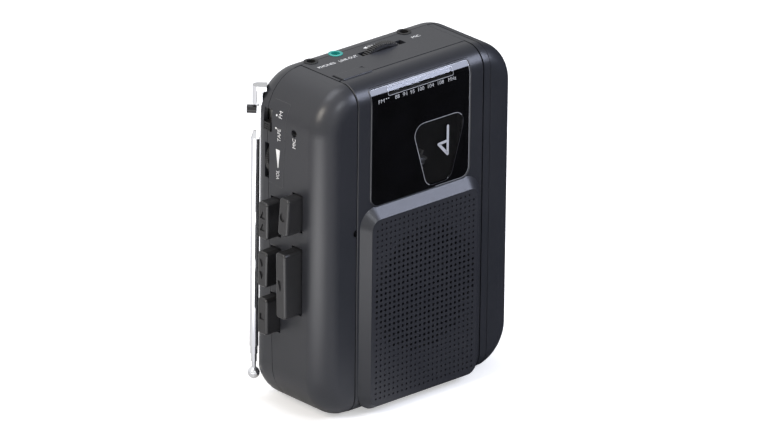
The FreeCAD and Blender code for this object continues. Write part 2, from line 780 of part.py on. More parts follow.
finger_tab = moulding("finger_tab", ("-tab_left", "-tab_left + tab_width"),
                      (f"{DOOR_BACK} - 0.5", f"{DOOR_BACK} + tab_depth"),
                      ("case_height + tab_proud - tab_thick", "case_height + tab_proud"),
                      rounds=(({"x": "-tab_left + tab_width", "y": f"{DOOR_BACK} + tab_depth"}, "3"),
                              ({"z": "case_height + tab_proud"}, "0.4")))
lugs = []
for number, sign in enumerate(("-", "")):
    near, far = "door_width / 2 - lug_width", "door_width / 2"
    x = (f"-({far})", f"-({near})") if sign else (near, far)
    disc = rod(f"lug_disc_{number}", "x", "lug_radius", (x[0], HINGE_Y, "front_round"), "lug_width")
    web = block(f"lug_web_{number}", x, (f"{FRONT} + case_wall / 2", HINGE_Y),
                ("front_round - lug_radius", "front_round + lug_radius"))
    lugs += [disc, web]
lug_bore = rod("lug_bore", "x", "pin_radius", ("-case_width", HINGE_Y, "front_round"), "2 * case_width")
door_shell = cut("door_shell", door_outer, door_inner)
door_back_cut = block("door_back_cut", ("-case_width", "case_width"), (f"{HINGE_Y}", "case_depth"),
                      ("-1", f"{DECK_UNDER} - 4"))
door_blank = join("door_blank", cut("door_skin", door_shell, door_back_cut), panel_rim, panel_base,
                  finger_tab, *lugs)
lens_bed = cut("lens_bed", common("lens_bed_zone", door_outer, lens_tool), lens_inner)
subpart("cassette_door",
        cut("cassette_door_body", door_blank, lens_bed, clear_panes, grille_seat, grille_back, lug_bore))
pins = [
    rod(f"hinge_pin_{number}", "x", "pin_radius", (start, HINGE_Y, "front_round"), "pin_length")
    for number, start in enumerate(("-door_width / 2 + lug_width - pin_length", "door_width / 2 - lug_width"))
]
subpart("hinge_pins", group("hinge_pin_pair", *pins))

# Perforated grille: through holes where the loudspeaker is.
grille_blank = panel_opening("grille_blank", "0", (GRILLE_FACE, f"{GRILLE_FACE} + grille_thick"))
doc.recompute()
pitch = value("grille_pitch")
speaker_z = value("speaker_height")
COLUMNS, ROWS = 23, 33
face_y = value(GRILLE_FACE)
holes = []
for column in range(COLUMNS):
    for level in range(ROWS):
        x = (column - (COLUMNS - 1) / 2) * pitch
        z = value("grille_low") + level * pitch
        if math.hypot(x, z - speaker_z) < value("grille_reach"):
            circle = Part.makeCircle(value("grille_hole"), Vector(x, face_y, z), Vector(0, 1, 0))
            holes.append(Part.Wire(circle))
front_face = max(grille_blank.Shape.Faces, key=lambda face: -face.CenterOfMass.y)
sheet_face = Part.Face([front_face.OuterWire] + holes)
sheet_face.validate()
subpart("speaker_grille",
        solid("speaker_grille_plate", sheet_face.extrude(Vector(0, value("grille_thick"), 0))))

# Loudspeaker, screwed behind the grille.
speaker_y = f"({GRILLE_FACE} + grille_thick)"
flange = tube("speaker_flange_ring", "y", "speaker_radius", "speaker_radius - 2.5",
              ("0", speaker_y, "speaker_height"),
              "speaker_flange")
bowl_outer = taper("bowl_outer", "y", "speaker_radius - 1.5", "basket_radius",
                   ("0", f"{speaker_y} + speaker_flange", "speaker_height"), "basket_depth")
bowl_inner = taper("bowl_inner", "y", "speaker_radius - 2.5", "basket_radius - 1",
                   ("0", f"{speaker_y} + speaker_flange - 0.01", "speaker_height"), "basket_depth - 0.7")
bowl = cut("bowl", bowl_outer, bowl_inner)
subpart("speaker_frame", join("speaker_frame_body", flange, bowl))
subpart("speaker_magnet", rod("speaker_magnet_body", "y", "magnet_radius",
                              ("0", f"{speaker_y} + speaker_flange + basket_depth", "speaker_height"),
                              "magnet_thick"))
cone_outer = taper("cone_outer", "y", "speaker_radius - 3", "basket_radius - 3",
                   ("0", f"{speaker_y} + 0.4", "speaker_height"), "basket_depth - 1.2")
cone_inner = taper("cone_inner", "y", "speaker_radius - 3 - cone_wall", "basket_radius - 3 - cone_wall",
                   ("0", f"{speaker_y} + 0.3", "speaker_height"), "basket_depth - 1.2 - cone_wall")
subpart("speaker_cone", cut("speaker_cone_body", cone_outer, cone_inner))

springs = [
    block(f"holding_spring_{number}", (f"{x} - 2.5", f"{x} + 2.5"),
          (f"{FRONT} + case_wall", f"{FRONT} + case_wall + 0.4"),
          ("lens_high - 18", "lens_high - 6.6"))
    for number, x in enumerate(("-door_width / 2 + 5.5", "door_width / 2 - 5.5"))
]
subpart("cassette_springs", group("cassette_spring_pair", *springs))
subpart("door_latch", block("door_latch_body", ("door_width / 2 - 12", "door_width / 2 - 6"),
                            (f"{HINGE_Y} + 0.4", DOOR_BACK), (f"{DECK_UNDER} - 1.9", DECK_UNDER)))

# ---------------------------------------------------------------- keys


def key_cap(name, y, z, lean, signs):
    """A key's cap with a leaning outer face, rounded edges and its sign sunk into the face."""
    root = value(f"-{SIDE} + case_wall + play_gap + key_flange")
    tips = [value(f"-{SIDE} - key_proud") - extra for extra in lean]
    front, back, low, high = value(y[0]), value(y[1]), value(z[0]), value(z[1])
    outline = [(root, low), (tips[0], low), (tips[1], high), (root, high)]
    points = [Vector(x, front, level) for x, level in outline]
    cap = Part.Face(Part.makePolygon(points + points[:1])).extrude(Vector(0, back - front, 0))
    long_edges = [edge for edge in cap.Edges if abs(edge.tangentAt(edge.FirstParameter).x) > 0.999]
    cap = cap.makeFillet(value("key_round"), long_edges)
    half_way = (root + max(tips)) / 2
    outer_edges = [edge for edge in cap.Edges if all(vertex.X < half_way for vertex in edge.Vertexes)]
    cap = cap.makeFillet(value("key_edge"), outer_edges)
    middle = Vector(sum(tips) / 2 + value("sign_depth"), (front + back) / 2, (low + high) / 2)
    return solid(name, cap.cut([sign.translated(middle) for sign in signs]))


def prism_sign(corners):
    """A straight-sided sign, given as (y, z) corners, reaching out of the face."""
    points = [Vector(0, y, z) for y, z in corners]
    return Part.Face(Part.makePolygon(points + points[:1])).extrude(Vector(-4, 0, 0))


def arrow_sign(middle, tall, way):
    """A triangle centred at a level that points up the key (1) or down it (-1)."""
    half = value("arrow_wide") / 2
    base, tip = middle - way * tall / 2, middle + way * tall / 2
    return prism_sign([(-half, base), (half, base), (0, tip)])


def arrow_pair(way):
    """Two triangles, one above the other."""
    return [arrow_sign(side * value("arrow_pitch") / 2, value("arrow_tall"), way) for side in (-1, 1)]


stop_half = value("stop_wide") / 2
KEY_SIGNS = {
    "forward": arrow_pair(1),
    "rewind": arrow_pair(-1),
    "stop": [prism_sign([(-stop_half, -stop_half), (stop_half, -stop_half), (stop_half, stop_half),
                         (-stop_half, stop_half)])],
    "record": [Part.makeCylinder(value("record_wide") / 2, 4, Vector(), Vector(-1, 0, 0))],
    "play": [arrow_sign(0, value("play_tall"), -1)],
}
for key, low_end, high_end, column in KEY_ROWS:
    y = (f"{column} - key_width", column)
    z = (f"{key}_low", f"{key}_high")
    root = f"-{SIDE} + case_wall + play_gap + key_flange"
    cap = key_cap(f"{key}_cap", y, z, KEY_LEAN[key], KEY_SIGNS[key])
    flange = block(f"{key}_flange", (f"-{SIDE} + case_wall + play_gap", root),
                   (f"{y[0]} - key_flange", f"{y[1]} + key_flange"),
                   (f"{z[0]} - key_flange", f"{z[1]} + key_flange"))
    stem = block(f"{key}_stem", (root, f"{root} + key_stem - key_flange"),
                 (f"{column} - key_width / 2 - 1.2", f"{column} - key_width / 2 + 1.2"),
                 (f"{z[0]} + 3", f"{z[1]} - 3"))
    subpart(f"{key}_key", join(f"{key}_key_body", cap, flange, stem))
LOCK_X = f"(-{SIDE} + case_wall + play_gap + key_stem + key_travel + play_gap)"
subpart("key_lock_plate",
        block("key_lock_plate_body", (LOCK_X, f"{LOCK_X} + 0.8"), ("bay_floor", "key_rear - 4"),
                                ("stop_low + 2", "record_high - 2")))

# ---------------------------------------------------------------- tape mechanism
plate_blank = block("plate_blank", (f"{LOCK_X} + 1.2", "door_width / 2 - 2"), (PLATE_FRONT, PLATE_BACK),
                    (f"{CAPSTAN_Z} - 14", f"{UPPER_HUB} + 28"))
plate_relief = block("plate_relief", (f"-{SIDE}", f"{LOCK_X} + 5"), ("bay_floor - 1", "case_depth"),
                     (f"{CAPSTAN_Z} - 2", "case_height"))
shaft_holes = [
    rod("shaft_hole_upper", "y", "hub_radius + running_gap", ("hub_line", f"{PLATE_FRONT} - 1", UPPER_HUB),
        "chassis_thick + 2"),
    rod("shaft_hole_lower", "y", "hub_radius + running_gap", ("hub_line", f"{PLATE_FRONT} - 1", LOWER_HUB),
        "chassis_thick + 2"),
    rod("bearing_hole", "y", "capstan_radius + 1.6", ("capstan_line", f"{PLATE_FRONT} - 1", CAPSTAN_Z),
        "chassis_thick + 2"),
]
hub_across = value("hub_line") - value("capstan_line")
hub_above = value(LOWER_HUB) - value(CAPSTAN_Z)
idler_angle = math.atan2(hub_above, hub_across)
idler_radius = (math.hypot(hub_across,
                           hub_above) - value("flywheel_hub + wheel_radius")) / 2 - value("running_gap")
idler_reach = value("flywheel_hub + running_gap") + idler_radius
idler_x = value("capstan_line") + idler_reach * math.cos(idler_angle)
idler_z = value(CAPSTAN_Z) + idler_reach * math.sin(idler_angle)
idler_pin = rod("idler_pin", "y", "1", (f"{idler_x}", f"{PLATE_BACK}", f"{idler_z}"),
                "wheel_thick + play_gap / 2")
arm_x, arm_z = f"({LOCK_X} + 3.6)", f"({CAPSTAN_Z} - roller_radius * 2.3)"
arm_post = rod("arm_post", "y", "1.2", (arm_x, "tape_plane + 1.6", arm_z),
               f"{PLATE_FRONT} - tape_plane - 1.6")
subpart("chassis_plate",
        join("chassis_plate_body", cut("plate_cut", plate_blank, plate_relief, *shaft_holes), idler_pin,
                              arm_post))
subpart("capstan_bearing",
        tube("capstan_bearing_body", "y", "capstan_radius + 1.6", "capstan_radius + running_gap",
                                ("capstan_line", "bay_floor - 1.4", CAPSTAN_Z),
                                "floor_thick + chassis_thick + 1.4"))
subpart("capstan_shaft",
        rod("capstan_shaft_body", "y", "capstan_radius", ("capstan_line", "hub_tip + 1", CAPSTAN_Z),
                             f"{PLATE_BACK} + wheel_thick + flywheel_thick + 1.6 - hub_tip - 1"))
fly_y = f"({PLATE_BACK} + play_gap)"
fly_hub = rod("fly_hub", "y", "flywheel_hub", ("capstan_line", fly_y, CAPSTAN_Z), "wheel_thick")
fly_disc = rod("fly_disc", "y", "flywheel_radius", ("capstan_line", f"{fly_y} + wheel_thick", CAPSTAN_Z),
               "flywheel_thick")
belt_y = f"({fly_y} + wheel_thick + flywheel_thick / 2)"
groove = cut("fly_groove",
             rod("groove_outer", "y", "flywheel_radius + 1",
                 ("capstan_line", f"{belt_y} - belt_thick", CAPSTAN_Z),
                               "2 * belt_thick"),
             rod("groove_inner", "y", "flywheel_radius - 1",
                 ("capstan_line", f"{belt_y} - belt_thick", CAPSTAN_Z),
                 "2 * belt_thick"))
fly_bore = rod("fly_bore", "y", "capstan_radius", ("capstan_line", f"{fly_y} - 1", CAPSTAN_Z), "20")
subpart("flywheel", cut("flywheel_body", join("flywheel_blank", fly_hub, fly_disc), groove, fly_bore))

idler_blank = rod("idler_blank", "y", f"{idler_radius}", (f"{idler_x}", fly_y, f"{idler_z}"),
                  "wheel_thick - play_gap")
idler_bore = rod("idler_bore", "y", "1 + running_gap", (f"{idler_x}", f"{fly_y} - 1", f"{idler_z}"),
                 "wheel_thick + 2")
subpart("idler_wheel", cut("idler_wheel_body", idler_blank, idler_bore))


def spindle(name, level):
    """A reel spindle: six fins on a hub, a shaft through the plate and a wheel behind it."""
    hub = rod(name + "_hub", "y", "hub_radius", ("hub_line", "hub_tip", level), f"{fly_y} - hub_tip")
    wheel = rod(name + "_wheel", "y", "wheel_radius", ("hub_line", fly_y, level), "wheel_thick")
    nose = taper(name + "_nose", "y", "hub_radius - 1.3", "hub_radius", ("hub_line", "hub_tip - 1", level),
                 "1")
    fins = []
    for number in range(3):
        fin = doc.addObject("Part::Box", f"{name}_fin_{number}")
        bind(fin, "Length", "2 * fin_reach")
        bind(fin, "Width", "8")
        bind(fin, "Height", "1")
        turn = Rotation(Vector(0, 1, 0), 60 * number)
        shift = turn.multVec(Vector(-value("fin_reach"), 0, -0.5))
        fin.Placement = Placement(Vector(), turn)
        bind_position(fin, f"hub_line + {shift.x}", "hub_tip + 1", f"{level} + {shift.z}")
        fins.append(fin)
    return join(name + "_body", hub, wheel, nose, *fins)


subpart("supply_spindle", spindle("supply", UPPER_HUB))
subpart("takeup_spindle", spindle("takeup", LOWER_HUB))

# Head slide: a plate beside the bay that carries both heads.
slide_y = ("tape_plane + 4.6", "bay_floor - play_gap")
head_back = "(head_line - 5)"
slide_plate = block("slide_plate", (head_back, "head_line"), slide_y,
                    ("tape_middle - 11", "tape_middle + 11"))
subpart("head_slide", slide_plate)
head_y = ("tape_plane - head_width + 0.8", "tape_plane + 4.6")
head_blank = moulding("head_blank", (head_back, "head_line + 1"), head_y,
                      ("tape_middle - head_height / 2", "tape_middle + head_height / 2"),
                      rounds=(({"x": "head_line + 1", "z": "tape_middle - head_height / 2"}, "3"),
                              ({"x": "head_line + 1", "z": "tape_middle + head_height / 2"}, "3")))
subpart("playback_head", head_blank)
subpart("erase_head", block("erase_head_body", (head_back, "head_line + 0.4"), head_y,
                            ("tape_middle + head_height / 2 + 1", "tape_middle + head_height / 2 + 4.6")))

# Pinch arm: pivots on its post and swings the roller against the capstan.
roller_swing = math.radians(value("arm_rest"))
arm_reach = value("arm_reach")
roller_x = value(arm_x) + arm_reach * math.cos(roller_swing)
roller_z = value(arm_z) + arm_reach * math.sin(roller_swing)
arm_y = value("tape_plane") + 2.4
boss = Part.makeCylinder(2.6, 1.2, Vector(value(arm_x), arm_y, value(arm_z)), Vector(0, 1, 0))
eye = Part.makeCylinder(2.4, 1.2, Vector(roller_x, arm_y, roller_z), Vector(0, 1, 0))
beam = Part.makeBox(arm_reach, 1.2, 3, Vector(0, 0, -1.5))
beam.Placement = Placement(Vector(value(arm_x), arm_y, value(arm_z)),
                           Rotation(Vector(0, 1, 0), -math.degrees(roller_swing)))
axle = Part.makeCylinder(0.9, 6.2, Vector(roller_x, arm_y - 6.2, roller_z), Vector(0, 1, 0))
post_bore = Part.makeCylinder(value("1.2 + running_gap"), 20, Vector(value(arm_x), arm_y - 5, value(arm_z)),
                              Vector(0, 1, 0))
subpart("pinch_arm", solid("pinch_arm_body", boss.fuse([eye, beam, axle]).cut(post_bore).removeSplitter()))
rubber = Part.makeCylinder(value("roller_radius"), value("roller_wide"),
                           Vector(roller_x, arm_y - 6, roller_z), Vector(0, 1, 0))
rubber_bore = Part.makeCylinder(value("0.9 + running_gap"), 20, Vector(roller_x, arm_y - 12, roller_z),
                                Vector(0, 1, 0))
subpart("pinch_roller", solid("pinch_roller_body", rubber.cut(rubber_bore)))

# Motor, pulley and belt.
motor_y = f"({belt_y} + 2.2)"
subpart("drive_motor", join("drive_motor_body",
                            rod("motor_can", "y", "motor_radius", ("motor_across", motor_y, "motor_height"),
                                "motor_depth"),
                            rod("motor_nose", "y", "3",
                                ("motor_across", f"{motor_y} - 0.8", "motor_height"), "0.8")))
pulley_blank = rod("pulley_blank", "y", "pulley_radius + 1",
                   ("motor_across", f"{belt_y} - 1.3", "motor_height"), "2.6")
pulley_groove = cut("pulley_groove", rod("pulley_groove_outer", "y", "pulley_radius + 2",
                                         ("motor_across", f"{belt_y} - belt_thick", "motor_height"),
                                         "2 * belt_thick"),
                    rod("pulley_groove_inner", "y", "pulley_radius",
                        ("motor_across", f"{belt_y} - belt_thick", "motor_height"),
                        "2 * belt_thick"))
subpart("motor_pulley", cut("motor_pulley_body", pulley_blank, pulley_groove))
bracket_y = (f"{motor_y} - 0.7", motor_y)
bracket_plate = block("bracket_plate", ("motor_across - 11", "motor_across + 13"), bracket_y,
                      ("motor_height - 11", "motor_height + 13"))
bracket_legs = [
    block("bracket_leg_side", ("motor_across + 12", "motor_across + 13"), (PLATE_BACK, motor_y),
          ("motor_height - 5", "motor_height + 5")),
    block("bracket_leg_top", ("motor_across - 5", "motor_across + 5"), (PLATE_BACK, motor_y),
          ("motor_height + 12", "motor_height + 13")),
]
bracket_hole = rod("bracket_hole", "y", "3.1", ("motor_across", f"{motor_y} - 2", "motor_height"), "4")
subpart("motor_bracket",
        cut("motor_bracket_body", join("bracket_blank", bracket_plate, *bracket_legs), bracket_hole))


def belt_outline(extra):
    """A loop round the flywheel's groove and the pulley, set out by the given amount."""
    big = value("flywheel_radius") - 1 + extra
    small = value("pulley_radius") + extra
    start = Vector(value("capstan_line"), value(belt_y) - value("belt_thick") / 2, value(CAPSTAN_Z))
    end = Vector(value("motor_across"), start.y, value("motor_height"))
    run = end - start
    facing = math.atan2(run.z, run.x)
    spread = math.acos((big - small) / run.Length)

    def at(centre, radius, angle):
        """A point on a circle in the belt's plane."""
        return centre + Vector(radius * math.cos(angle), 0, radius * math.sin(angle))

    top, low = facing + spread, facing - spread
    arcs = [
        Part.Arc(at(start, big, top), at(start, big, facing + math.pi), at(start, big, low)).toShape(),
        Part.makeLine(at(start, big, low), at(end, small, low)),
        Part.Arc(at(end, small, low), at(end, small, facing), at(end, small, top)).toShape(),
        Part.makeLine(at(end, small, top), at(start, big, top)),
    ]
    return Part.Face(Part.Wire(arcs))


belt = belt_outline(0.05 + value("belt_thick")).cut(belt_outline(0.05)).extrude(Vector(0, value("belt_thick"), 0))
subpart("drive_belt", solid("drive_belt_loop", belt))

# ---------------------------------------------------------------- electronics and controls
board_y = ("board_depth", "board_depth + board_thick")
tuning_z = "(case_height + tuning_proud - tuning_radius)"
board_blank = block("board_blank", ("-case_width / 2 + 6", "case_width / 2 - 6"), board_y,
                    ("board_low", "case_height - 11"))
wheel_room = rod("wheel_room", "y", "tuning_radius + 1", ("tuning_line", "board_depth - 1", tuning_z),
                 "board_thick + 2")
subpart("main_board", cut("main_board_body", board_blank, wheel_room))
chips = []
CHIPS = (("chip", -34, -22, 108, 116, 1.8), ("filter", -16, -9, 104, 111, 5), ("coil", 20, 27, 106, 113, 6),
         ("small_chip", 30, 38, 112, 119, 1.6))
for name, left_edge, right_edge, low_edge, high_edge, tall in CHIPS:
    chips.append(block(f"board_{name}", (f"{left_edge}", f"{right_edge}"),
                       (board_y[1], f"{board_y[1]} + {tall}"),
                       (f"{low_edge}", f"{high_edge}")))
chips += [
    rod(f"capacitor_{number}", "y", "3", (f"{x}", board_y[1], "106"), "9")
    for number, x in enumerate((-2, 6, 14))
]
subpart("board_components", group("board_component_set", *chips))

for node, line in SOCKETS:
    nose = rod(f"{node}_nose", "z", "socket_nose", (line, "socket_depth", f"{DECK_UNDER} - socket_drop"),
               "case_wall + socket_drop + 0.2")
    case = block(f"{node}_case", (f"{line} - socket_wide / 2", f"{line} + socket_wide / 2"),
                 ("socket_depth - 3.8", "socket_depth + 3.8"),
                 (f"{DECK_UNDER} - socket_body", f"{DECK_UNDER} - socket_drop"))
    hole = rod(f"{node}_bore", "z", "socket_bore",
               (line, "socket_depth", f"{DECK_UNDER} - socket_body + 1"), "socket_body + 4")
    subpart(node, cut(f"{node}_body", join(f"{node}_blank", nose, case), hole))

volume_x = f"(-{SIDE} - volume_proud + volume_radius)"


def thumbwheel(name, centre_x, centre_z, middle_y, radius, thick, teeth, bore):
    """A knurled wheel whose axis runs front to back."""
    points = []
    for number in range(2 * teeth):
        reach = radius if number % 2 else radius - 0.35
        angle = math.pi * number / teeth
        points.append(Vector(centre_x + reach * math.cos(angle), middle_y - thick / 2,
                             centre_z + reach * math.sin(angle)))
    disc = Part.Face(Part.makePolygon(points + points[:1])).extrude(Vector(0, thick, 0))
    axle_bore = Part.makeCylinder(bore, thick * 3, Vector(centre_x, middle_y - thick, centre_z),
                                  Vector(0, 1, 0))
    return solid(name, disc.cut(axle_bore))


subpart("volume_wheel",
        thumbwheel("volume_wheel_body", value(volume_x), value("volume_height"), value("volume_depth"),
                                   value("volume_radius"), value("volume_thick"), 48, 1.5))
subpart("tuning_wheel",
        thumbwheel("tuning_wheel_body", value("tuning_line"), value(tuning_z), value("tuning_depth"),
                                   value("tuning_radius"), value("tuning_thick"), 66, 1.5))
pot_y = "(board_depth + board_thick)"
pot_case = block("pot_case", (f"{volume_x} - 5.5", f"{volume_x} + 5.5"),
                 (pot_y, "volume_depth - volume_thick / 2 - play_gap"),
                 ("volume_height - 2", "volume_height + 6"))
pot_axle = rod("pot_axle", "y", "1.45", (volume_x, pot_y, "volume_height"),
               "volume_depth + volume_thick / 2 - board_depth - board_thick")
subpart("volume_pot", join("volume_pot_body", pot_case, pot_axle))
gang_y = "(tuning_depth + tuning_thick / 2 + play_gap)"
gang_case = block("gang_case", ("tuning_line - 8", "tuning_line + 8"), (gang_y, f"{gang_y} + 8"),
                  (f"{tuning_z} - 9", f"{tuning_z} + 5"))
gang_axle = rod("gang_axle", "y", "1.45", ("tuning_line", "tuning_depth - tuning_thick / 2", tuning_z),
                "tuning_thick + 1")
subpart("tuning_capacitor", join("tuning_capacitor_body", gang_case, gang_axle))
knob_low = "(switch_height - switch_slot / 2 + 0.3)"
knob = block("switch_grip", (f"-{SIDE} - switch_proud", f"-{SIDE} + case_wall + 0.6"),
             ("switch_depth - switch_wide / 2 + play_gap", "switch_depth + switch_wide / 2 - play_gap"),
             (knob_low, f"{knob_low} + switch_knob"))
knob_grooves = [
    block(f"grip_groove_{number}", (f"-{SIDE} - switch_proud - 1", f"-{SIDE} - switch_proud + 0.4"),
          ("switch_depth - 3", "switch_depth + 3"),
          (f"{knob_low} + 0.6 + {number} * 0.9", f"{knob_low} + 1.0 + {number} * 0.9"))
    for number in range(3)
]
subpart("band_switch_knob", cut("band_switch_knob_body", knob, *knob_grooves))
switch_x = f"(-{SIDE} + case_wall + 0.6 + play_gap)"
subpart("band_switch", block("band_switch_body", (switch_x, f"{switch_x} + 4"), (pot_y, "switch_depth + 3"),
                             ("switch_height - 7", "switch_height + 5")))
subpart("microphone",
        rod("microphone_body", "x", "3",
            (f"-{SIDE} + case_wall + play_gap", "microphone_depth", "microphone_height"), "4.5"))

# Dial pointer on its rail behind the lens.
RAIL_Z = "(dial_low + 1)"
RAIL_Y = "(case_wall - case_depth / 2 + 4)"
subpart("dial_rail", rod("dial_rail_body", "x", "0.8", (f"-{BAY_SIDE}", RAIL_Y, RAIL_Z), f"2 * {BAY_SIDE}"))
rider = block("pointer_rider", ("-2.5", "2.5"), (f"{RAIL_Y} - 1.8", f"{RAIL_Y} + 1.8"),
              (f"{RAIL_Z} - 1.8", f"{RAIL_Z} + 1.6"))
needle = block("pointer_needle", ("-0.5", "0.5"), (f"{RAIL_Y} - 2.6", f"{RAIL_Y} - 1.8"),
               (f"{RAIL_Z} - 1.8", f"{RAIL_Z} + 1.6"))
rail_hole = rod("rail_hole", "x", "0.8 + running_gap", ("-5", RAIL_Y, RAIL_Z), "10")
subpart("dial_pointer", cut("dial_pointer_body", join("pointer_blank", rider, needle), rail_hole))

# ---------------------------------------------------------------- telescopic aerial
NECK_IN = "(aerial_flat + 0.65)"
NECK_OUT = "(aerial_out - 0.6)"
CAP_LOW = "(aerial_pivot + 2.6)"
CAP_ROOF = "(aerial_pivot + 8.4)"
CAP_HIGH = "(aerial_pivot + 10.2)"
cap_x, cap_y = corner_point("aerial_out - 1.3")
mount_roof = beside_corner("mount_roof", "aerial_flat - 2.2", "aerial_out - 1.3", (CAP_ROOF, CAP_HIGH), "2.6")
mount_cap = beside_corner("mount_cap", "aerial_flat - 0.6", "aerial_out - 1.3", (CAP_LOW, CAP_HIGH), "2.6")
mount_end = rod("mount_end", "z", "2.6", (cap_x, cap_y, CAP_LOW), f"{CAP_HIGH} - {CAP_LOW}")
mount_leg = beside_corner("mount_leg", "aerial_flat", f"{NECK_IN} - 0.1", ("aerial_pivot - 2.4", CAP_LOW),
                          "2.2")
mount_back = beside_corner("mount_back", "aerial_flat - 4", "aerial_flat - 0.6",
                           (f"{CAP_LOW} - 1", CAP_ROOF), "3")
mount_slot = beside_corner("mount_slot", f"{NECK_IN} - 0.1", f"{NECK_OUT} + 0.1",
                           (f"{CAP_LOW} - 1", CAP_ROOF), "4")


def across_corner(name, radius, near, far, level):
    """A cylinder along the corner's diagonal."""
    cylinder = doc.addObject("Part::Cylinder", name)
    cylinder.Placement = Placement(Vector(), Rotation(Vector(0, 0, 1), Vector(-1, 1, 0)))
    bind(cylinder, "Radius", radius)
    bind(cylinder, "Height", f"({far}) - ({near})")
    x, y = corner_point(near)
    bind_position(cylinder, x, y, level)
    return cylinder


pivot_hole = across_corner("pivot_hole", "0.9 + running_gap", "aerial_flat - 4", "aerial_out + 6",
                           "aerial_pivot")
mount_blank = join("mount_blank", mount_roof, mount_cap, mount_end, mount_leg)
subpart("aerial_bracket", cut("mount_outside", mount_blank, rear_case, mount_back, mount_slot, pivot_hole))
tongue = beside_corner("tongue", NECK_IN, NECK_OUT, ("aerial_top - 2.9", "aerial_pivot + 1.6"), "1.7")
tongue_x, tongue_y = corner_point("aerial_out")
shoulder = taper("shoulder", "z", "aerial_radius", "aerial_radius - 0.9",
                 (tongue_x, tongue_y, "aerial_top - 3"), "3")
main_tube = rod("main_tube", "z", "aerial_radius", (tongue_x, tongue_y, "aerial_low"),
                "aerial_top - 3 - aerial_low")
tube_bore = rod("tube_bore", "z", "aerial_radius - aerial_wall", (tongue_x, tongue_y, "aerial_low - 1"),
                "aerial_top - 6 - aerial_low")
subpart("aerial_base",
        cut("aerial_base_body", join("aerial_base_blank", tongue, shoulder, main_tube), tube_bore,
            pivot_hole))
subpart("aerial_screw", join("aerial_screw_body",
                             across_corner("screw_stem", "0.9", "aerial_flat + 0.1", f"{NECK_OUT} + 0.2",
                                           "aerial_pivot"),
                             across_corner("screw_knob", "1.7", f"{NECK_OUT} + 0.2", "aerial_out + 3.4",
                                           "aerial_pivot")))
for number in (2, 3, 4):
    shrink = f"(aerial_wall + running_gap) * {number - 1}"
    radius = f"(aerial_radius - {shrink})"
    low = f"(aerial_low - aerial_step * {number - 1})"
    high = f"(aerial_top - 6 - aerial_step * {number - 1} / 2)"
    stage = rod(f"stage_{number}", "z", radius, (tongue_x, tongue_y, low), f"{high} - {low}")
    if number < 4:
        bore = rod(f"stage_bore_{number}", "z", f"{radius} - aerial_wall",
                   (tongue_x, tongue_y, f"{low} - 1"), f"{high} - {low}")
        subpart(f"aerial_section_{number}", cut(f"aerial_section_{number}_body", stage, bore))
    else:
        tip = ball("aerial_tip", "tip_radius", (tongue_x, tongue_y, f"{low} - tip_radius * 0.7"))
        subpart("aerial_section_4", join("aerial_section_4_body", stage, tip))

# ---------------------------------------------------------------- check and export
doc.recompute()
faults = [obj.Name for obj in doc.Objects if "Invalid" in obj.State or "Error" in obj.State]
for node, obj in SUBPARTS:
    if obj.Shape.isNull() or not obj.Shape.isValid() or not obj.Shape.Solids:
        faults.append(node)
if faults:
    raise RuntimeError("failed objects: " + ", ".join(faults))
os.makedirs("parts", exist_ok=True)
for node, obj in SUBPARTS:
    obj.Shape.exportStep(f"parts/{node}.step")
    print(f"{node}: {len(obj.Shape.Solids)} solid(s), {obj.Shape.Volume:.1f} mm3")
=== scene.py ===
"""Portable cassette player: finishes, prints, fine moulded detail and a studio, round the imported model."""

import logging
import math
from dataclasses import dataclass
from enum import Enum

import bmesh
import bpy
from mathutils import Matrix, Vector


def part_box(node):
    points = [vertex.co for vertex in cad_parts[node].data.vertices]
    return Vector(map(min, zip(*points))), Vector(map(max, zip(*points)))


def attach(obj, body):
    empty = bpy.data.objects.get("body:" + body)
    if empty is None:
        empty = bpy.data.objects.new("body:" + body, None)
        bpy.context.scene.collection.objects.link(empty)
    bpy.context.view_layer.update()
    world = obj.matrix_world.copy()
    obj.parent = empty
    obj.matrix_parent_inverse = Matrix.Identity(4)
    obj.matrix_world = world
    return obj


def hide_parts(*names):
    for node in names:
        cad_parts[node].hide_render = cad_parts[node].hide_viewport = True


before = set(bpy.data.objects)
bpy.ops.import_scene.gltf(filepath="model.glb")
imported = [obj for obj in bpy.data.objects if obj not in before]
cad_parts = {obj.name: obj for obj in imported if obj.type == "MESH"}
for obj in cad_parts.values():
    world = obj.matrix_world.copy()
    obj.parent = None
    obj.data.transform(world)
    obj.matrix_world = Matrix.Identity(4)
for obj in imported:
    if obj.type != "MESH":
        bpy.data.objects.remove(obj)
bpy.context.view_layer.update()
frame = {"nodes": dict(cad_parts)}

MM = 0.001
LOG = logging.getLogger("cassette_player")
Pair = tuple[float, float]
Triple = tuple[float, float, float]
Tree = bpy.types.NodeTree
Node = bpy.types.Node
Socket = bpy.types.NodeSocket
Work = bmesh.types.BMesh


# ---------------------------------------------------------------------------------------------------------
# Materials
# ---------------------------------------------------------------------------------------------------------

# A noise pattern seldom leaves this span, so it is stretched to the full range from here.
PATTERN_SPAN: Pair = (0.3, 0.7)


def linear(colour: str) -> tuple[float, float, float, float]:
    """Turns an sRGB hex colour into linear light.

    Args:
        colour: six hex digits.

    Returns:
        Red, green, blue and an alpha of one.
    """
    values = [int(colour[i:i + 2], 16) / 255 for i in (0, 2, 4)]
    return (*[v / 12.92 if v <= 0.04045 else ((v + 0.055) / 1.055) ** 2.4 for v in values], 1.0)


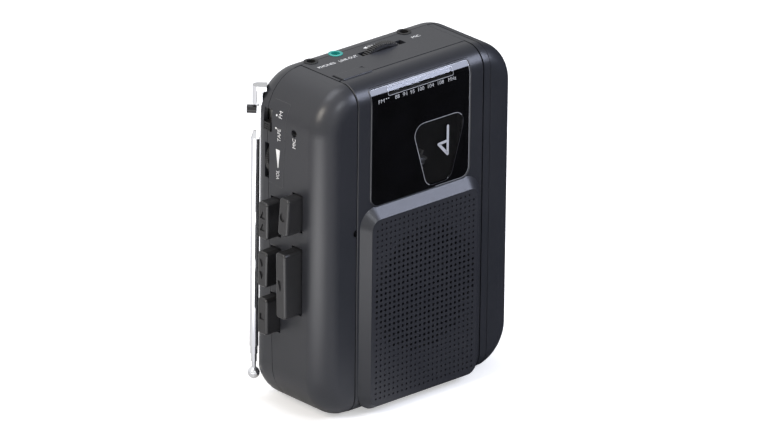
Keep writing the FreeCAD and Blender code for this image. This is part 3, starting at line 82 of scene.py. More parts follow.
def add(tree: Tree, kind: str, values: dict | None = None, links: dict | None = None,
        **settings: object) -> Node:
    """Adds a node with its settings, its plain values and its links.

    Args:
        tree: the tree that gets the node.
        kind: Blender's name for the kind of node.
        values: plain values by input socket.
        links: source sockets by input socket.
        **settings: properties of the node itself.

    Returns:
        The new node.
    """
    made = tree.nodes.new(kind)
    for key, value in settings.items():
        setattr(made, key, value)
    for socket, value in (values or {}).items():
        made.inputs[socket].default_value = value
    for socket, source in (links or {}).items():
        tree.links.new(source, made.inputs[socket])
    return made


def per_metre(size: float) -> float:
    """The texture scale at which one repeat is this many millimetres."""
    return 1 / (size * MM)


def shades(tree: Tree, source: Socket, dark: str, light: str, span: Pair = PATTERN_SPAN) -> Socket:
    """A colour between two shades, led by a pattern.

    Args:
        tree: the tree that gets the node.
        source: the pattern, from 0 to 1.
        dark: sRGB hex where the pattern is low.
        light: sRGB hex where it is high.
        span: the pattern's values at which each shade is reached.

    Returns:
        The colour's socket.
    """
    ramp = add(tree, "ShaderNodeValToRGB", links={"Fac": source})
    for element, spot, colour in zip(ramp.color_ramp.elements, span, (dark, light)):
        element.position = spot
        element.color = linear(colour)
    return ramp.outputs["Color"]


def led(tree: Tree, source: Socket, low: object, high: object, span: Pair = (0.0, 1.0)) -> Socket:
    """A number that goes from one value to another with a source.

    Args:
        tree: the tree that gets the node.
        source: what leads it.
        low: the value, or the socket that gives it, at the low end of the source.
        high: the same at the high end.
        span: the source's low and high end.

    Returns:
        The number's socket.
    """
    values: dict = {"From Min": span[0], "From Max": span[1]}
    links: dict = {"Value": source}
    for name, given in (("To Min", low), ("To Max", high)):
        (links if isinstance(given, Socket) else values)[name] = given
    return add(tree, "ShaderNodeMapRange", values, links).outputs["Result"]


def relief(tree: Tree, shader: Node, height: Socket, depth: float) -> None:
    """Raises the shader's surface by a pattern.

    Args:
        tree: the tree that gets the node.
        shader: the shader whose surface is raised.
        height: the pattern.
        depth: how deep it is where it goes from 0 to 1, in millimetres.
    """
    bump = add(tree, "ShaderNodeBump", {"Strength": 1.0, "Distance": depth * MM}, {"Height": height})
    tree.links.new(bump.outputs["Normal"], shader.inputs["Normal"])


class Finish:
    """A finish that is built once, on first use. Each kind fills in its own tree."""

    built: dict[str, bpy.types.Material] = {}
    name: str

    def material(self) -> bpy.types.Material:
        """Builds the finish if it isn't there yet.

        Returns:
            The Blender material of this finish.
        """
        if self.name not in Finish.built:
            material = bpy.data.materials.new(self.name)
            material.use_nodes = True
            tree = material.node_tree
            tree.nodes.clear()
            shader = add(tree, "ShaderNodeBsdfPrincipled")
            add(tree, "ShaderNodeOutputMaterial", links={"Surface": shader.outputs["BSDF"]})
            place = add(tree, "ShaderNodeTexCoord").outputs["Object"]
            self.fill(tree, shader, place)
            Finish.built[self.name] = material
        return Finish.built[self.name]

    def fill(self, tree: Tree, shader: Node, place: Socket) -> None:
        """Sets the shader's values and links its patterns."""
        raise NotImplementedError


@dataclass(frozen=True)
class TexturedMoulding(Finish):
    """Plastic moulded in a spark-eroded tool: a soft, even matte whose fine grain breaks up every highlight.

    The true grain is about 0.1 mm, too fine to show, so it is drawn at the size given here. The roughness
    is uneven by this much either way. The colour drifts over each cloud, as it does where the melt flowed.
    """

    name: str
    dark: str
    light: str
    roughness: float = 0.5
    uneven: float = 0.04
    grain: float = 0.45
    cloud: float = 34.0
    depth: float = 0.012
    ior: float = 1.5

    def fill(self, tree: Tree, shader: Node, place: Socket) -> None:
        """Sets the shader's values and links its patterns.

        Args:
            tree: the material's tree.
            shader: its shader.
            place: the point on the piece, in its own frame.
        """
        shader.inputs["IOR"].default_value = self.ior
        cloud = add(tree, "ShaderNodeTexNoise", {"Scale": per_metre(self.cloud), "Detail": 3.0},
                    {"Vector": place}).outputs["Fac"]
        pits = add(tree, "ShaderNodeTexNoise", {"Scale": per_metre(self.grain), "Detail": 2.0},
                   {"Vector": place}).outputs["Fac"]
        tree.links.new(shades(tree, cloud, self.dark, self.light), shader.inputs["Base Color"])
        smooth, rough = self.roughness - self.uneven, self.roughness + self.uneven
        tree.links.new(led(tree, pits, smooth, rough, PATTERN_SPAN), shader.inputs["Roughness"])
        relief(tree, shader, pits, self.depth)


@dataclass(frozen=True)
class PolishedMoulding(Finish):
    """Plastic moulded in a polished tool: it mirrors the lamps, with a faint long ripple where it cooled.

    Haze from handling makes the gloss uneven, from the first to the second of these parts of the roughness.
    """

    name: str
    dark: str
    light: str
    roughness: float = 0.06
    uneven: Pair = (0.8, 1.3)
    haze: float = 1.3
    ripple: float = 9.0
    depth: float = 0.004
    ior: float = 1.49

    def fill(self, tree: Tree, shader: Node, place: Socket) -> None:
        """Sets the shader's values and links its patterns.

        Args:
            tree: the material's tree.
            shader: its shader.
            place: the point on the piece, in its own frame.
        """
        shader.inputs["IOR"].default_value = self.ior
        waves = add(tree, "ShaderNodeTexNoise", {"Scale": per_metre(self.ripple), "Detail": 1.0},
                    {"Vector": place}).outputs["Fac"]
        haze = add(tree, "ShaderNodeTexNoise", {"Scale": per_metre(self.haze), "Detail": 4.0},
                   {"Vector": place}).outputs["Fac"]
        tree.links.new(shades(tree, waves, self.dark, self.light), shader.inputs["Base Color"])
        smooth, rough = (self.roughness * part for part in self.uneven)
        tree.links.new(led(tree, haze, smooth, rough, PATTERN_SPAN), shader.inputs["Roughness"])
        relief(tree, shader, waves, self.depth)


@dataclass(frozen=True)
class ClearMoulding(Finish):
    """Tinted clear plastic moulded in a polished tool, with faint smears in its gloss."""

    name: str
    tint: str
    roughness: float = 0.012
    uneven: Pair = (0.7, 1.3)
    smear: float = 6.0
    ior: float = 1.49

    def fill(self, tree: Tree, shader: Node, place: Socket) -> None:
        """Sets the shader's values and links its patterns.

        Args:
            tree: the material's tree.
            shader: its shader.
            place: the point on the piece, in its own frame.
        """
        shader.inputs["IOR"].default_value = self.ior
        shader.inputs["Transmission Weight"].default_value = 1.0
        shader.inputs["Base Color"].default_value = linear(self.tint)
        smears = add(tree, "ShaderNodeTexNoise", {"Scale": per_metre(self.smear), "Detail": 2.0},
                     {"Vector": place}).outputs["Fac"]
        smooth, rough = (self.roughness * part for part in self.uneven)
        tree.links.new(led(tree, smears, smooth, rough, PATTERN_SPAN), shader.inputs["Roughness"])


class Grain(Enum):
    """Which way a metal's working marks run: the pattern's scale along x, y and z."""

    ALONG_X = (1.0, 40.0, 40.0)
    ALONG_Z = (40.0, 40.0, 1.0)
    NONE = (6.0, 6.0, 6.0)


@dataclass(frozen=True)
class WorkedMetal(Finish):
    """Bare or plated metal: its colour comes from the reflection, and the working marks blur it one way.

    The size of the marks is divided by the grain's scale in each direction. Real marks are some hundredths of
    a millimetre wide, too fine to show, so they are drawn about ten times as wide.
    """

    name: str
    dark: str
    light: str
    roughness: float
    grain: Grain = Grain.NONE
    uneven: Pair = (0.8, 1.25)
    marks: float = 12.0
    depth: float = 0.002

    def fill(self, tree: Tree, shader: Node, place: Socket) -> None:
        """Sets the shader's values and links its patterns.

        Args:
            tree: the material's tree.
            shader: its shader.
            place: the point on the piece, in its own frame.
        """
        shader.inputs["Metallic"].default_value = 1.0
        stretch = add(tree, "ShaderNodeMapping", {"Scale": self.grain.value}, {"Vector": place})
        lines = add(tree, "ShaderNodeTexNoise", {"Scale": per_metre(self.marks), "Detail": 4.0},
                    {"Vector": stretch.outputs["Vector"]}).outputs["Fac"]
        tree.links.new(shades(tree, lines, self.dark, self.light), shader.inputs["Base Color"])
        smooth, rough = (self.roughness * part for part in self.uneven)
        tree.links.new(led(tree, lines, smooth, rough, PATTERN_SPAN), shader.inputs["Roughness"])
        relief(tree, shader, lines, self.depth)


@dataclass(frozen=True)
class SoftSheet(Finish):
    """Matte fibre, rubber, stone or phosphate: almost no shine, with a cloudy surface.

    Real fibres and grains are up to 0.1 mm wide, too fine to show, so they are drawn at the size given here.
    """

    name: str
    dark: str
    light: str
    roughness: float = 0.85
    fibre: float = 0.8
    depth: float = 0.03

    def fill(self, tree: Tree, shader: Node, place: Socket) -> None:
        """Sets the shader's values and links its patterns.

        Args:
            tree: the material's tree.
            shader: its shader.
            place: the point on the piece, in its own frame.
        """
        shader.inputs["Roughness"].default_value = self.roughness
        fibres = add(tree, "ShaderNodeTexNoise", {"Scale": per_metre(self.fibre), "Detail": 5.0},
                     {"Vector": place}).outputs["Fac"]
        tree.links.new(shades(tree, fibres, self.dark, self.light), shader.inputs["Base Color"])
        relief(tree, shader, fibres, self.depth)


@dataclass(frozen=True)
class CircuitSheet(Finish):
    """Lacquered circuit board: resin paper with darker copper lands showing through, one at each pitch."""

    name: str
    resin: str
    land: str
    roughness: float = 0.38
    pitch: float = 2.54
    border: Pair = (0.30, 0.36)
    depth: float = 0.03

    def fill(self, tree: Tree, shader: Node, place: Socket) -> None:
        """Sets the shader's values and links its patterns.

        Args:
            tree: the material's tree.
            shader: its shader.
            place: the point on the piece, in its own frame.
        """
        shader.inputs["Roughness"].default_value = self.roughness
        cells = add(tree, "ShaderNodeTexVoronoi", {"Scale": per_metre(self.pitch)}, {"Vector": place},
                    distance="CHEBYCHEV").outputs["Distance"]
        tree.links.new(shades(tree, cells, self.land, self.resin, self.border), shader.inputs["Base Color"])
        relief(tree, shader, cells, self.depth)


@dataclass(frozen=True)
class Ink(Finish):
    """Screen-printed ink: flat and opaque, slightly broken where the mesh left it thin.

    A real mesh has threads 0.1 mm apart, too fine to show, so the breaks are drawn at the size given here.
    """

    name: str
    thin: str
    full: str
    roughness: float = 0.55
    mesh: float = 0.3
    cover: Pair = (0.25, 0.45)

    def fill(self, tree: Tree, shader: Node, place: Socket) -> None:
        """Sets the shader's values and links its patterns.

        Args:
            tree: the material's tree.
            shader: its shader.
            place: the point on the piece, in its own frame.
        """
        shader.inputs["Roughness"].default_value = self.roughness
        weave = add(tree, "ShaderNodeTexNoise", {"Scale": per_metre(self.mesh), "Detail": 2.0},
                    {"Vector": place}).outputs["Fac"]
        tree.links.new(shades(tree, weave, self.thin, self.full, self.cover), shader.inputs["Base Color"])


# Spark-eroded ABS of the case: deep charcoal with a broad, soft sheen along its rounded edges.
CASE_ABS = TexturedMoulding("charcoal_textured_abs", "25272c", "2a2b30", roughness=0.34)
# The same ABS, painted paler and a little smoother: a thin painted highlight along the lit edge of the side's
# step.
STEP_HIGHLIGHT_ABS = TexturedMoulding("painted_step_highlight_abs", "3f4043", "46474a", roughness=0.3)
# Textured ABS of the grille: a little duller than the case, so that the holes stand out as dark dots.
GRILLE_ABS = TexturedMoulding("charcoal_grille_abs", "26272d", "2c2d32", roughness=0.4, grain=0.4)
# Black ABS inside the case: flat and dark, so that it stays behind what it holds.
FRAME_ABS = TexturedMoulding("black_inner_abs", "0f0f10", "161617", roughness=0.55)
# Finely textured ABS of the keys: nearly black and without the case's blue, with a slight gleam.
KEY_ABS = TexturedMoulding("charcoal_key_abs", "232324", "28282a", roughness=0.33, grain=0.35)
# Acrylic painted on its back: deep black under a clear gloss that mirrors the surroundings.
LENS_ACRYLIC = PolishedMoulding("back_painted_gloss_acrylic", "050506", "08080a", roughness=0.05)
# ABS from a half-polished tool: black, with a blurred gleam.
KNOB_ABS = PolishedMoulding("satin_black_abs", "101011", "19191a", roughness=0.32, ripple=4.0, ior=1.5)
# Hair-thin pale lines painted as highlights on the lit edges of the lens, window and dial pane.
EDGE_HIGHLIGHT_ACRYLIC = PolishedMoulding("painted_edge_highlight", "8e9096", "a6a8ad", roughness=0.16)
# Glossy coloured ABS of one socket: a small, clear spot of teal.
TEAL_ABS = PolishedMoulding("teal_gloss_abs", "1c8d86", "35b3a8", roughness=0.22, ripple=4.0, ior=1.5)
# Shrunk film on the cells: plain grey with a soft shine along each one.
CELL_SLEEVE = PolishedMoulding("grey_shrink_sleeve", "55575c", "62646a", roughness=0.25, ripple=8.0, ior=1.5)
# Undyed moulded nylon: waxy off-white, which looks dim behind the smoked window.
NYLON = TexturedMoulding("natural_nylon", "d8d5c8", "e4e1d6", roughness=0.45, grain=0.6)
# Smoked acrylic: clear enough to show the spindle behind it, dark enough to hide the works.
WINDOW_ACRYLIC = ClearMoulding("smoked_clear_acrylic", "8f9095")
# Zinc plate on pressed steel: a cloudy grey shine without clear images.
ZINC = WorkedMetal("zinc_plated_steel", "a7a8a6", "c2c3c0", 0.32, marks=7.0)
# Nickel plate on spring strip: warmer and brighter than the zinc beside it.
NICKEL = WorkedMetal("nickel_plated_spring_steel", "b5b1a8", "cbc8c0", 0.22)
# Bright chrome on drawn tube: sharp white and dark streaks along the aerial.
CHROME = WorkedMetal("bright_chrome_plate", "dcdde0", "eeeff1", 0.05, Grain.ALONG_Z, marks=20.0, depth=0.0004)
# Steel ground and polished: a clean bright highlight, drawn out slightly by the marks.
GROUND_STEEL = WorkedMetal("ground_polished_steel", "bfc0c2", "d3d4d6", 0.12, Grain.ALONG_X)
# Brass from the lathe: a warm yellow gleam.
BRASS = WorkedMetal("turned_brass", "c8a052", "dcb868", 0.18)
# Pressed and sintered bronze: dull brown with an open grain.
BRONZE = WorkedMetal("sintered_bronze", "7d5c33", "96713f", 0.45, marks=1.0, depth=0.01)
# Polished shield of the tape head: mirror bright.
HEAD_SHIELD = WorkedMetal("polished_head_shield", "c6c6c8", "dadadc", 0.1)
# Sintered ferrite of the magnet: dark grey and matte, like fine stone.
FERRITE = SoftSheet("sintered_ferrite", "29292c", "37373a", 0.6, fibre=1.2)
# Rubber ground to size: soft black with hardly any shine.
RUBBER = SoftSheet("ground_rubber", "151515", "202020", 0.75, fibre=0.5, depth=0.02)
# Felted paper of the loudspeaker's cone: flat black with coarse fibres.
CONE_PAPER = SoftSheet("felted_cone_paper", "121212", "1d1d1d", 0.95, fibre=0.9, depth=0.05)
# Oiled phosphate on the screws: black with a dull sheen.
BLACK_STEEL = SoftSheet("black_phosphate_steel", "121213", "1e1e1f", 0.42, fibre=0.6, depth=0.004)
# Phenolic resin paper: brown, with darker squares where copper lies.
BOARD = CircuitSheet("phenolic_circuit_board", "7a4a20", "4f3014")
# White ink of the case's words: crisp and flat against the charcoal.
WHITE_INK = Ink("white_screen_ink", "c9cacc", "f2f3f4")
# Pale grey ink of the dial: quieter than the case's words, as it sits in the dark lens.
DIAL_INK = Ink("pale_grey_screen_ink", "b4b6ba", "c6c8cc")
# Silver-grey ink of the tape arrow: the quietest of the prints.
GREY_INK = Ink("silver_grey_screen_ink", "8e9096", "a9abb1")

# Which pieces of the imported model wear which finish.
NODE_FINISHES: dict[Finish, tuple[str, ...]] = {
    CASE_ABS: ("left_casing", "right_casing", "rear_case", "battery_cover", "cassette_door", "centre_frame"),
    GRILLE_ABS: ("speaker_grille",),
    FRAME_ABS: ("board_components", "erase_head", "phones_socket", "mic_socket"),
    KEY_ABS: ("forward_key", "rewind_key", "stop_key", "record_key", "play_key", "tuning_wheel"),
    LENS_ACRYLIC: ("door_lens",),
    KNOB_ABS: ("volume_wheel", "band_switch_knob", "aerial_screw"),
    TEAL_ABS: ("line_out_socket",),
    CELL_SLEEVE: ("battery_cells",),
    NYLON: ("supply_spindle", "takeup_spindle", "tuning_capacitor", "dial_pointer"),
    WINDOW_ACRYLIC: ("door_windows",),
    ZINC: ("hinge_pins", "speaker_frame", "key_lock_plate", "chassis_plate", "head_slide", "pinch_arm",
           "drive_motor", "motor_bracket", "volume_pot", "band_switch", "microphone"),
    NICKEL: ("battery_contacts", "cassette_springs", "door_latch"),
    CHROME: ("aerial_bracket", "aerial_base", "aerial_section_2", "aerial_section_3", "aerial_section_4"),
    GROUND_STEEL: ("capstan_shaft", "dial_rail"),
    BRASS: ("flywheel", "motor_pulley"),
    BRONZE: ("capstan_bearing",),
    HEAD_SHIELD: ("playback_head",),
    FERRITE: ("speaker_magnet",),
    RUBBER: ("idler_wheel", "pinch_roller", "drive_belt"),
    CONE_PAPER: ("speaker_cone",),
    BLACK_STEEL: ("case_screws",),
    BOARD: ("main_board",),
}


def dress(piece: bpy.types.Object, finish: Finish) -> None:
    """Gives a piece one finish in place of what it had."""
    piece.data.materials.clear()
    piece.data.materials.append(finish.material())


# ---------------------------------------------------------------------------------------------------------
# Faces of the case
# ---------------------------------------------------------------------------------------------------------

# The case without its grille, wheel and aerial, in millimetres. It stands on the floor, centred on the axes.
CASE_WIDTH, CASE_DEPTH, CASE_HEIGHT = 102.0, 43.0, 138.5
X, Y, Z = Vector((1, 0, 0)), Vector((0, 1, 0)), Vector((0, 0, 1))


@dataclass(frozen=True)
class Plane:
    """A flat face of the player, with its own across and up directions, in millimetres."""

    origin: Vector
    across: Vector
    up: Vector

    def at(self, across: float, up: float, proud: float = 0.0) -> Vector:
        """The point this far across and up the face, and this far out of it, in metres."""
        outward = self.across.cross(self.up)
        return (self.origin + self.across * across + self.up * up + outward * proud) * MM


@dataclass(frozen=True)
class RoundedFront(Plane):
    """The front face, which rolls back over the top edge."""

    radius: float = 9.0
    edge: float = CASE_HEIGHT - radius

    def at(self, across: float, up: float, proud: float = 0.0) -> Vector:
        """Follows the face and its rolled edge.

        Args:
            across: how far across the face, in millimetres.
            up: how far up it.
            proud: how far out of it.

        Returns:
            The point, in metres.
        """
        if up <= self.edge:
            return super().at(across, up, proud)
        turn = (up - self.edge) / self.radius
        reach = self.radius + proud
        drop = self.origin.y + self.radius
        return Vector((across, drop - reach * math.cos(turn), self.edge + reach * math.sin(turn))) * MM


@dataclass(frozen=True)
class RoundedSide(Plane):
    """The left side face, which rolls inwards towards the top; across it is the height itself."""

    radius: float = 18.0
    edge: float = CASE_HEIGHT - radius

    def at(self, across: float, up: float, proud: float = 0.0) -> Vector:
        """Follows the face and its rolled corner.

        Args:
            across: the height, in millimetres.
            up: how far back.
            proud: how far out of the face.

        Returns:
            The point, in metres.
        """
        turn = math.asin(max(0.0, across - self.edge) / self.radius)
        sunk = Vector((self.radius * (1 - math.cos(turn)), 0, 0))
        outward = Vector((-math.cos(turn), 0, math.sin(turn)))
        return super().at(across, up) + (sunk + outward * proud) * MM


FRONT = RoundedFront(Vector((0, -CASE_DEPTH / 2, 0)), X, Z)
TOP = Plane(Vector((0, 0, CASE_HEIGHT)), X, Y)
SIDE = RoundedSide(Vector((-CASE_WIDTH / 2, 0, 0)), Z, Y)


# ---------------------------------------------------------------------------------------------------------
# Shapes
# ---------------------------------------------------------------------------------------------------------

# Points nearer than this, in metres, become one.
WELD = 1e-7
# A stroke's corner reaches out at most as far as at this cosine of half its turn.
MITRE_LIMIT = 0.35


def stand(name: str, data: bpy.types.ID) -> bpy.types.Object:
    """Puts a new object in the scene.

    Args:
        name: its name.
        data: its mesh, lamp or camera.

    Returns:
        The new object.
    """
    made = bpy.data.objects.new(name, data)
    bpy.context.scene.collection.objects.link(made)
    return made


def place(name: str, work: Work, finish: Finish, slot: str, body: str,
          smooth: float = math.radians(35)) -> bpy.types.Object:
    """Makes an object of a working mesh, dresses it and lets it ride on a body.

    Args:
        name: the piece's name.
        work: its closed working mesh, in the row frame, which is used up.
        finish: its finish.
        slot: the record's slot for that finish; it is not used.
        body: the body it moves with.
        smooth: edges that turn less than this are shaded smooth.

    Returns:
        The new object.
    """
    bmesh.ops.remove_doubles(work, verts=work.verts, dist=WELD)
    bmesh.ops.recalc_face_normals(work, faces=work.faces)
    mesh = bpy.data.meshes.new(name)
    work.to_mesh(mesh)
    work.free()
    piece = stand(name, mesh)
    dress(piece, finish)
    mesh.shade_smooth()
    mesh.set_sharp_from_angle(angle=smooth)
    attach(piece, body)
    LOG.info("%s: %d faces on %s", name, len(mesh.polygons), body)
    return piece


def band(work: Work, ring: list[bmesh.types.BMVert], after: list[bmesh.types.BMVert]) -> None:
    """Joins two closed rings of points by a band of faces.

    Args:
        work: the working mesh.
        ring: the first ring.
        after: the next one, with as many points.
    """
    for i in range(len(ring)):
        j = (i + 1) % len(ring)
        work.faces.new((ring[i], ring[j], after[j], after[i]))


def slab(work: Work, plane: Plane, outline: list[Pair], low: float = -0.03, high: float = 0.02) -> None:
    """Adds a thin closed plate, which is as thick as ink if nothing else is said.

    Args:
        work: the working mesh.
        plane: the face it lies on.
        outline: its edge across and up, in millimetres.
        low: its under side, out of the plane.
        high: its upper side, out of the plane.
    """
    rings = [[work.verts.new(plane.at(a, u, level)) for a, u in outline] for level in (low, high)]
    work.faces.new(rings[0])
    work.faces.new(list(reversed(rings[1])))
    band(work, *rings)


def stroke(work: Work, plane: Plane, path: list[Pair], width: float, closed: bool = False,
           low: float = -0.05, high: float = 0.02, crest: float = 1.0) -> None:
    """Adds a flat stroke along a path, mitred at its corners.

    Args:
        work: the working mesh.
        plane: the face it lies on.
        path: points across and up, in millimetres.
        width: the stroke's width.
        closed: whether it ends where it starts.
        low: its under side, out of the plane.
        high: its upper side, out of the plane.
        crest: its width on the upper side, as a part of the lower width.
    """
    points = [Vector(point) for point in path]
    count = len(points)
    rows = []
    for i, point in enumerate(points):
        before = points[i - 1] if i or closed else None
        after = points[(i + 1) % count] if i < count - 1 or closed else None
        ends = ((before, point), (point, after))
        ways = [(b - a).normalized() for a, b in ends if a is not None and b is not None]
        normals = [Vector((-way.y, way.x)) for way in ways]
        middle = sum(normals, Vector((0, 0))).normalized()
        reach = middle * (width / 2 / max(MITRE_LIMIT, middle.dot(normals[0])))
        spots = ((point + reach, low), (point - reach, low),
                 (point + reach * crest, high), (point - reach * crest, high))
        rows.append([work.verts.new(plane.at(spot.x, spot.y, level)) for spot, level in spots])
    for i in range(count if closed else count - 1):
        (a0, b0, a1, b1), (c0, d0, c1, d1) = rows[i], rows[(i + 1) % count]
        for face in ((a1, b1, d1, c1), (a0, c0, d0, b0), (a0, a1, c1, c0), (b0, d0, d1, b1)):
            work.faces.new(face)
    if not closed:
        for a0, b0, a1, b1 in (rows[0], rows[-1]):
            work.faces.new((a0, b0, b1, a1))


def arc(centre: Pair, radius: float, start: float, end: float, steps: int = 24) -> list[Pair]:
    """Points along an arc, in millimetres and degrees."""
    turns = [math.radians(start + (end - start) * i / steps) for i in range(steps + 1)]
    return [(centre[0] + radius * math.cos(t), centre[1] + radius * math.sin(t)) for t in turns]


def circle(centre: Pair, radius: float, sides: int) -> list[Pair]:
    """The corners of a many-sided circle, in millimetres."""
    return arc(centre, radius, 0, 360 - 360 / sides, sides - 1)


def rectangle(left: float, right: float, low: float, high: float) -> list[Pair]:
    """The corners of an upright rectangle, from the lower left one."""
    return [(left, low), (right, low), (right, high), (left, high)]


def rounded_path(corners: list[Pair], radii: list[float], steps: int = 6) -> list[Pair]:
    """A closed path through these corners, each one rounded.

    Args:
        corners: the sharp corners, in order.
        radii: each corner's radius.
        steps: the spans along each rounded corner.

    Returns:
        The path's points.
    """
    path: list[Pair] = []
    for i, (corner, radius) in enumerate(zip(corners, radii)):
        here, before, after = Vector(corner), Vector(corners[i - 1]), Vector(corners[(i + 1) % len(corners)])
        back, on = (before - here).normalized(), (after - here).normalized()
        half = back.angle(on) / 2
        centre = here + (back + on).normalized() * radius / math.sin(half)
        first, last = here + back * radius / math.tan(half), here + on * radius / math.tan(half)
        begin = math.atan2(first.y - centre.y, first.x - centre.x)
        turn = (math.atan2(last.y - centre.y, last.x - centre.x) - begin + math.pi) % (2 * math.pi) - math.pi
        for k in range(steps + 1):
            angle = begin + turn * k / steps
            path.append((centre.x + radius * math.cos(angle), centre.y + radius * math.sin(angle)))
    return path


def dense(path: list[Pair], step: float = 0.8, closed: bool = True) -> list[Pair]:
    """Fills a path with points, so that it can follow a rolled face.

    Args:
        path: its points, in millimetres.
        step: the greatest way from one point to the next.
        closed: whether it goes on from its end to its start.

    Returns:
        The filled path.
    """
    points: list[Pair] = [] if closed else [path[-1]]
    for here, after in reversed(list(zip(path, path[1:] + path[:1] * closed))):
        pieces = max(1, math.ceil(math.dist(here, after) / step))
        points = [(here[0] + (after[0] - here[0]) * i / pieces, here[1] + (after[1] - here[1]) * i / pieces)
                  for i in range(pieces)] + points
    return points


@dataclass(frozen=True)
class Word:
    """A printed word: its text, its place and size on a face, and how its ink lies.

    The strokes are thinned by a share of the letters' height. The ink starts at its root under the face, and
    stands proud of it, more so on a rolled face, where a straight stem would sink in.
    """

    text: str
    centre: Pair
    length: float
    height: float
    thin: float = 0.006
    proud: float = 0.03
    root: float = -0.03

    def draw(self, work: Work, plane: Plane) -> None:
        """Adds the word to a working mesh, as thin raised ink.

        Args:
            work: the working mesh.
            plane: the face it is printed on.
        """
        curve = bpy.data.curves.new("word", "FONT")
        curve.body = self.text
        # Any thickness does, because both sides get their own level below.
        curve.extrude = 0.01
        curve.offset = -self.thin
        curve.resolution_u = 3
        holder = bpy.data.objects.new("word", curve)
        mesh = bpy.data.meshes.new_from_object(holder)
        spots = [v.co for v in mesh.vertices]
        low = [min(s[i] for s in spots) for i in (0, 1)]
        high = [max(s[i] for s in spots) for i in (0, 1)]
        scale = (self.length / (high[0] - low[0]), self.height / (high[1] - low[1]))
        for vertex in mesh.vertices:
            across, up = (self.centre[i] + (vertex.co[i] - (low[i] + high[i]) / 2) * scale[i] for i in (0, 1))
            vertex.co = plane.at(across, up, self.proud if vertex.co.z > 0 else self.root)
        work.from_mesh(mesh)
        bpy.data.objects.remove(holder)
        bpy.data.curves.remove(curve)
        bpy.data.meshes.remove(mesh)


# ---------------------------------------------------------------------------------------------------------
# Sub-assemblies
# ---------------------------------------------------------------------------------------------------------

@dataclass
class SpeakerGrille:
    """The pierced plate over the loudspeaker: open holes before the cone, blind dimples round them."""

    pitch: float = 2.3
    columns: int = 23
    rows: int = 33
    lowest: float = 6.8
    hole: float = 0.66
    dimple: float = 0.5
    reach: float = 26.2
    cone_height: float = 47.8
    skin: float = 0.45
    corner: float = 4.1
    sides: int = 14
    crease: float = math.radians(30)

    def spots(self) -> list[tuple[float, float, bool]]:
        """Lays out the holes in rows and columns, without the two in the upper corners.

        Returns:
            Each hole's place across and up, and whether it is open.
        """
        found = []
        for row in range(self.rows):
            for column in range(self.columns):
                across = (column - (self.columns - 1) / 2) * self.pitch
                up = self.lowest + row * self.pitch
                corner_dot = row == self.rows - 1 and column in (0, self.columns - 1)
                if not corner_dot:
                    found.append((across, up, math.hypot(across, up - self.cone_height) < self.reach))
        return found

    def sheet(self, front: float, back: float, outline: list[Pair], holes: list[Triple]) -> bpy.types.Mesh:
        """A flat sheet with round holes.

        Args:
            front: the depth of its front face, in millimetres.
            back: the depth of its back face.
            outline: its outer edge.
            holes: each hole's place and radius.

        Returns:
            The sheet's mesh, in the row frame.
        """
        curve = bpy.data.curves.new("sheet", "CURVE")
        curve.dimensions = "2D"
        curve.fill_mode = "BOTH"
        curve.extrude = (back - front) / 2
        for rim in [outline] + [circle((a, u), radius, self.sides) for a, u, radius in holes]:
            spline = curve.splines.new("POLY")
            spline.points.add(len(rim) - 1)
            spline.use_cyclic_u = True
            for point, (a, u) in zip(spline.points, rim):
                point.co = (a, u, 0, 1)
        holder = bpy.data.objects.new("sheet", curve)
        mesh = bpy.data.meshes.new_from_object(holder)
        middle = (front + back) / 2
        for vertex in mesh.vertices:
            vertex.co = Vector((vertex.co.x, middle - vertex.co.z, vertex.co.y)) * MM
        bpy.data.objects.remove(holder)
        bpy.data.curves.remove(curve)
        return mesh

    def build(self) -> None:
        """Builds the plate in place of its plain CAD node."""
        low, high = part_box("speaker_grille")
        edges = (v / MM for v in (low.x, high.x, low.z, high.z))
        outline = rounded_path(rectangle(*edges), [self.corner] * 4)
        front, back = low.y / MM, high.y / MM
        spots = self.spots()
        face_holes = [(a, u, self.hole if is_open else self.dimple) for a, u, is_open in spots]
        through = [(a, u, self.hole) for a, u, is_open in spots if is_open]
        work = bmesh.new()
        for mesh in (self.sheet(front, front + self.skin, outline, face_holes),
                     self.sheet(front + self.skin, back, outline, through)):
            work.from_mesh(mesh)
            bpy.data.meshes.remove(mesh)
        piece = place("pierced_speaker_grille", work, GRILLE_ABS, "grille_charcoal", "door",
                      smooth=self.crease)
        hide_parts("speaker_grille")


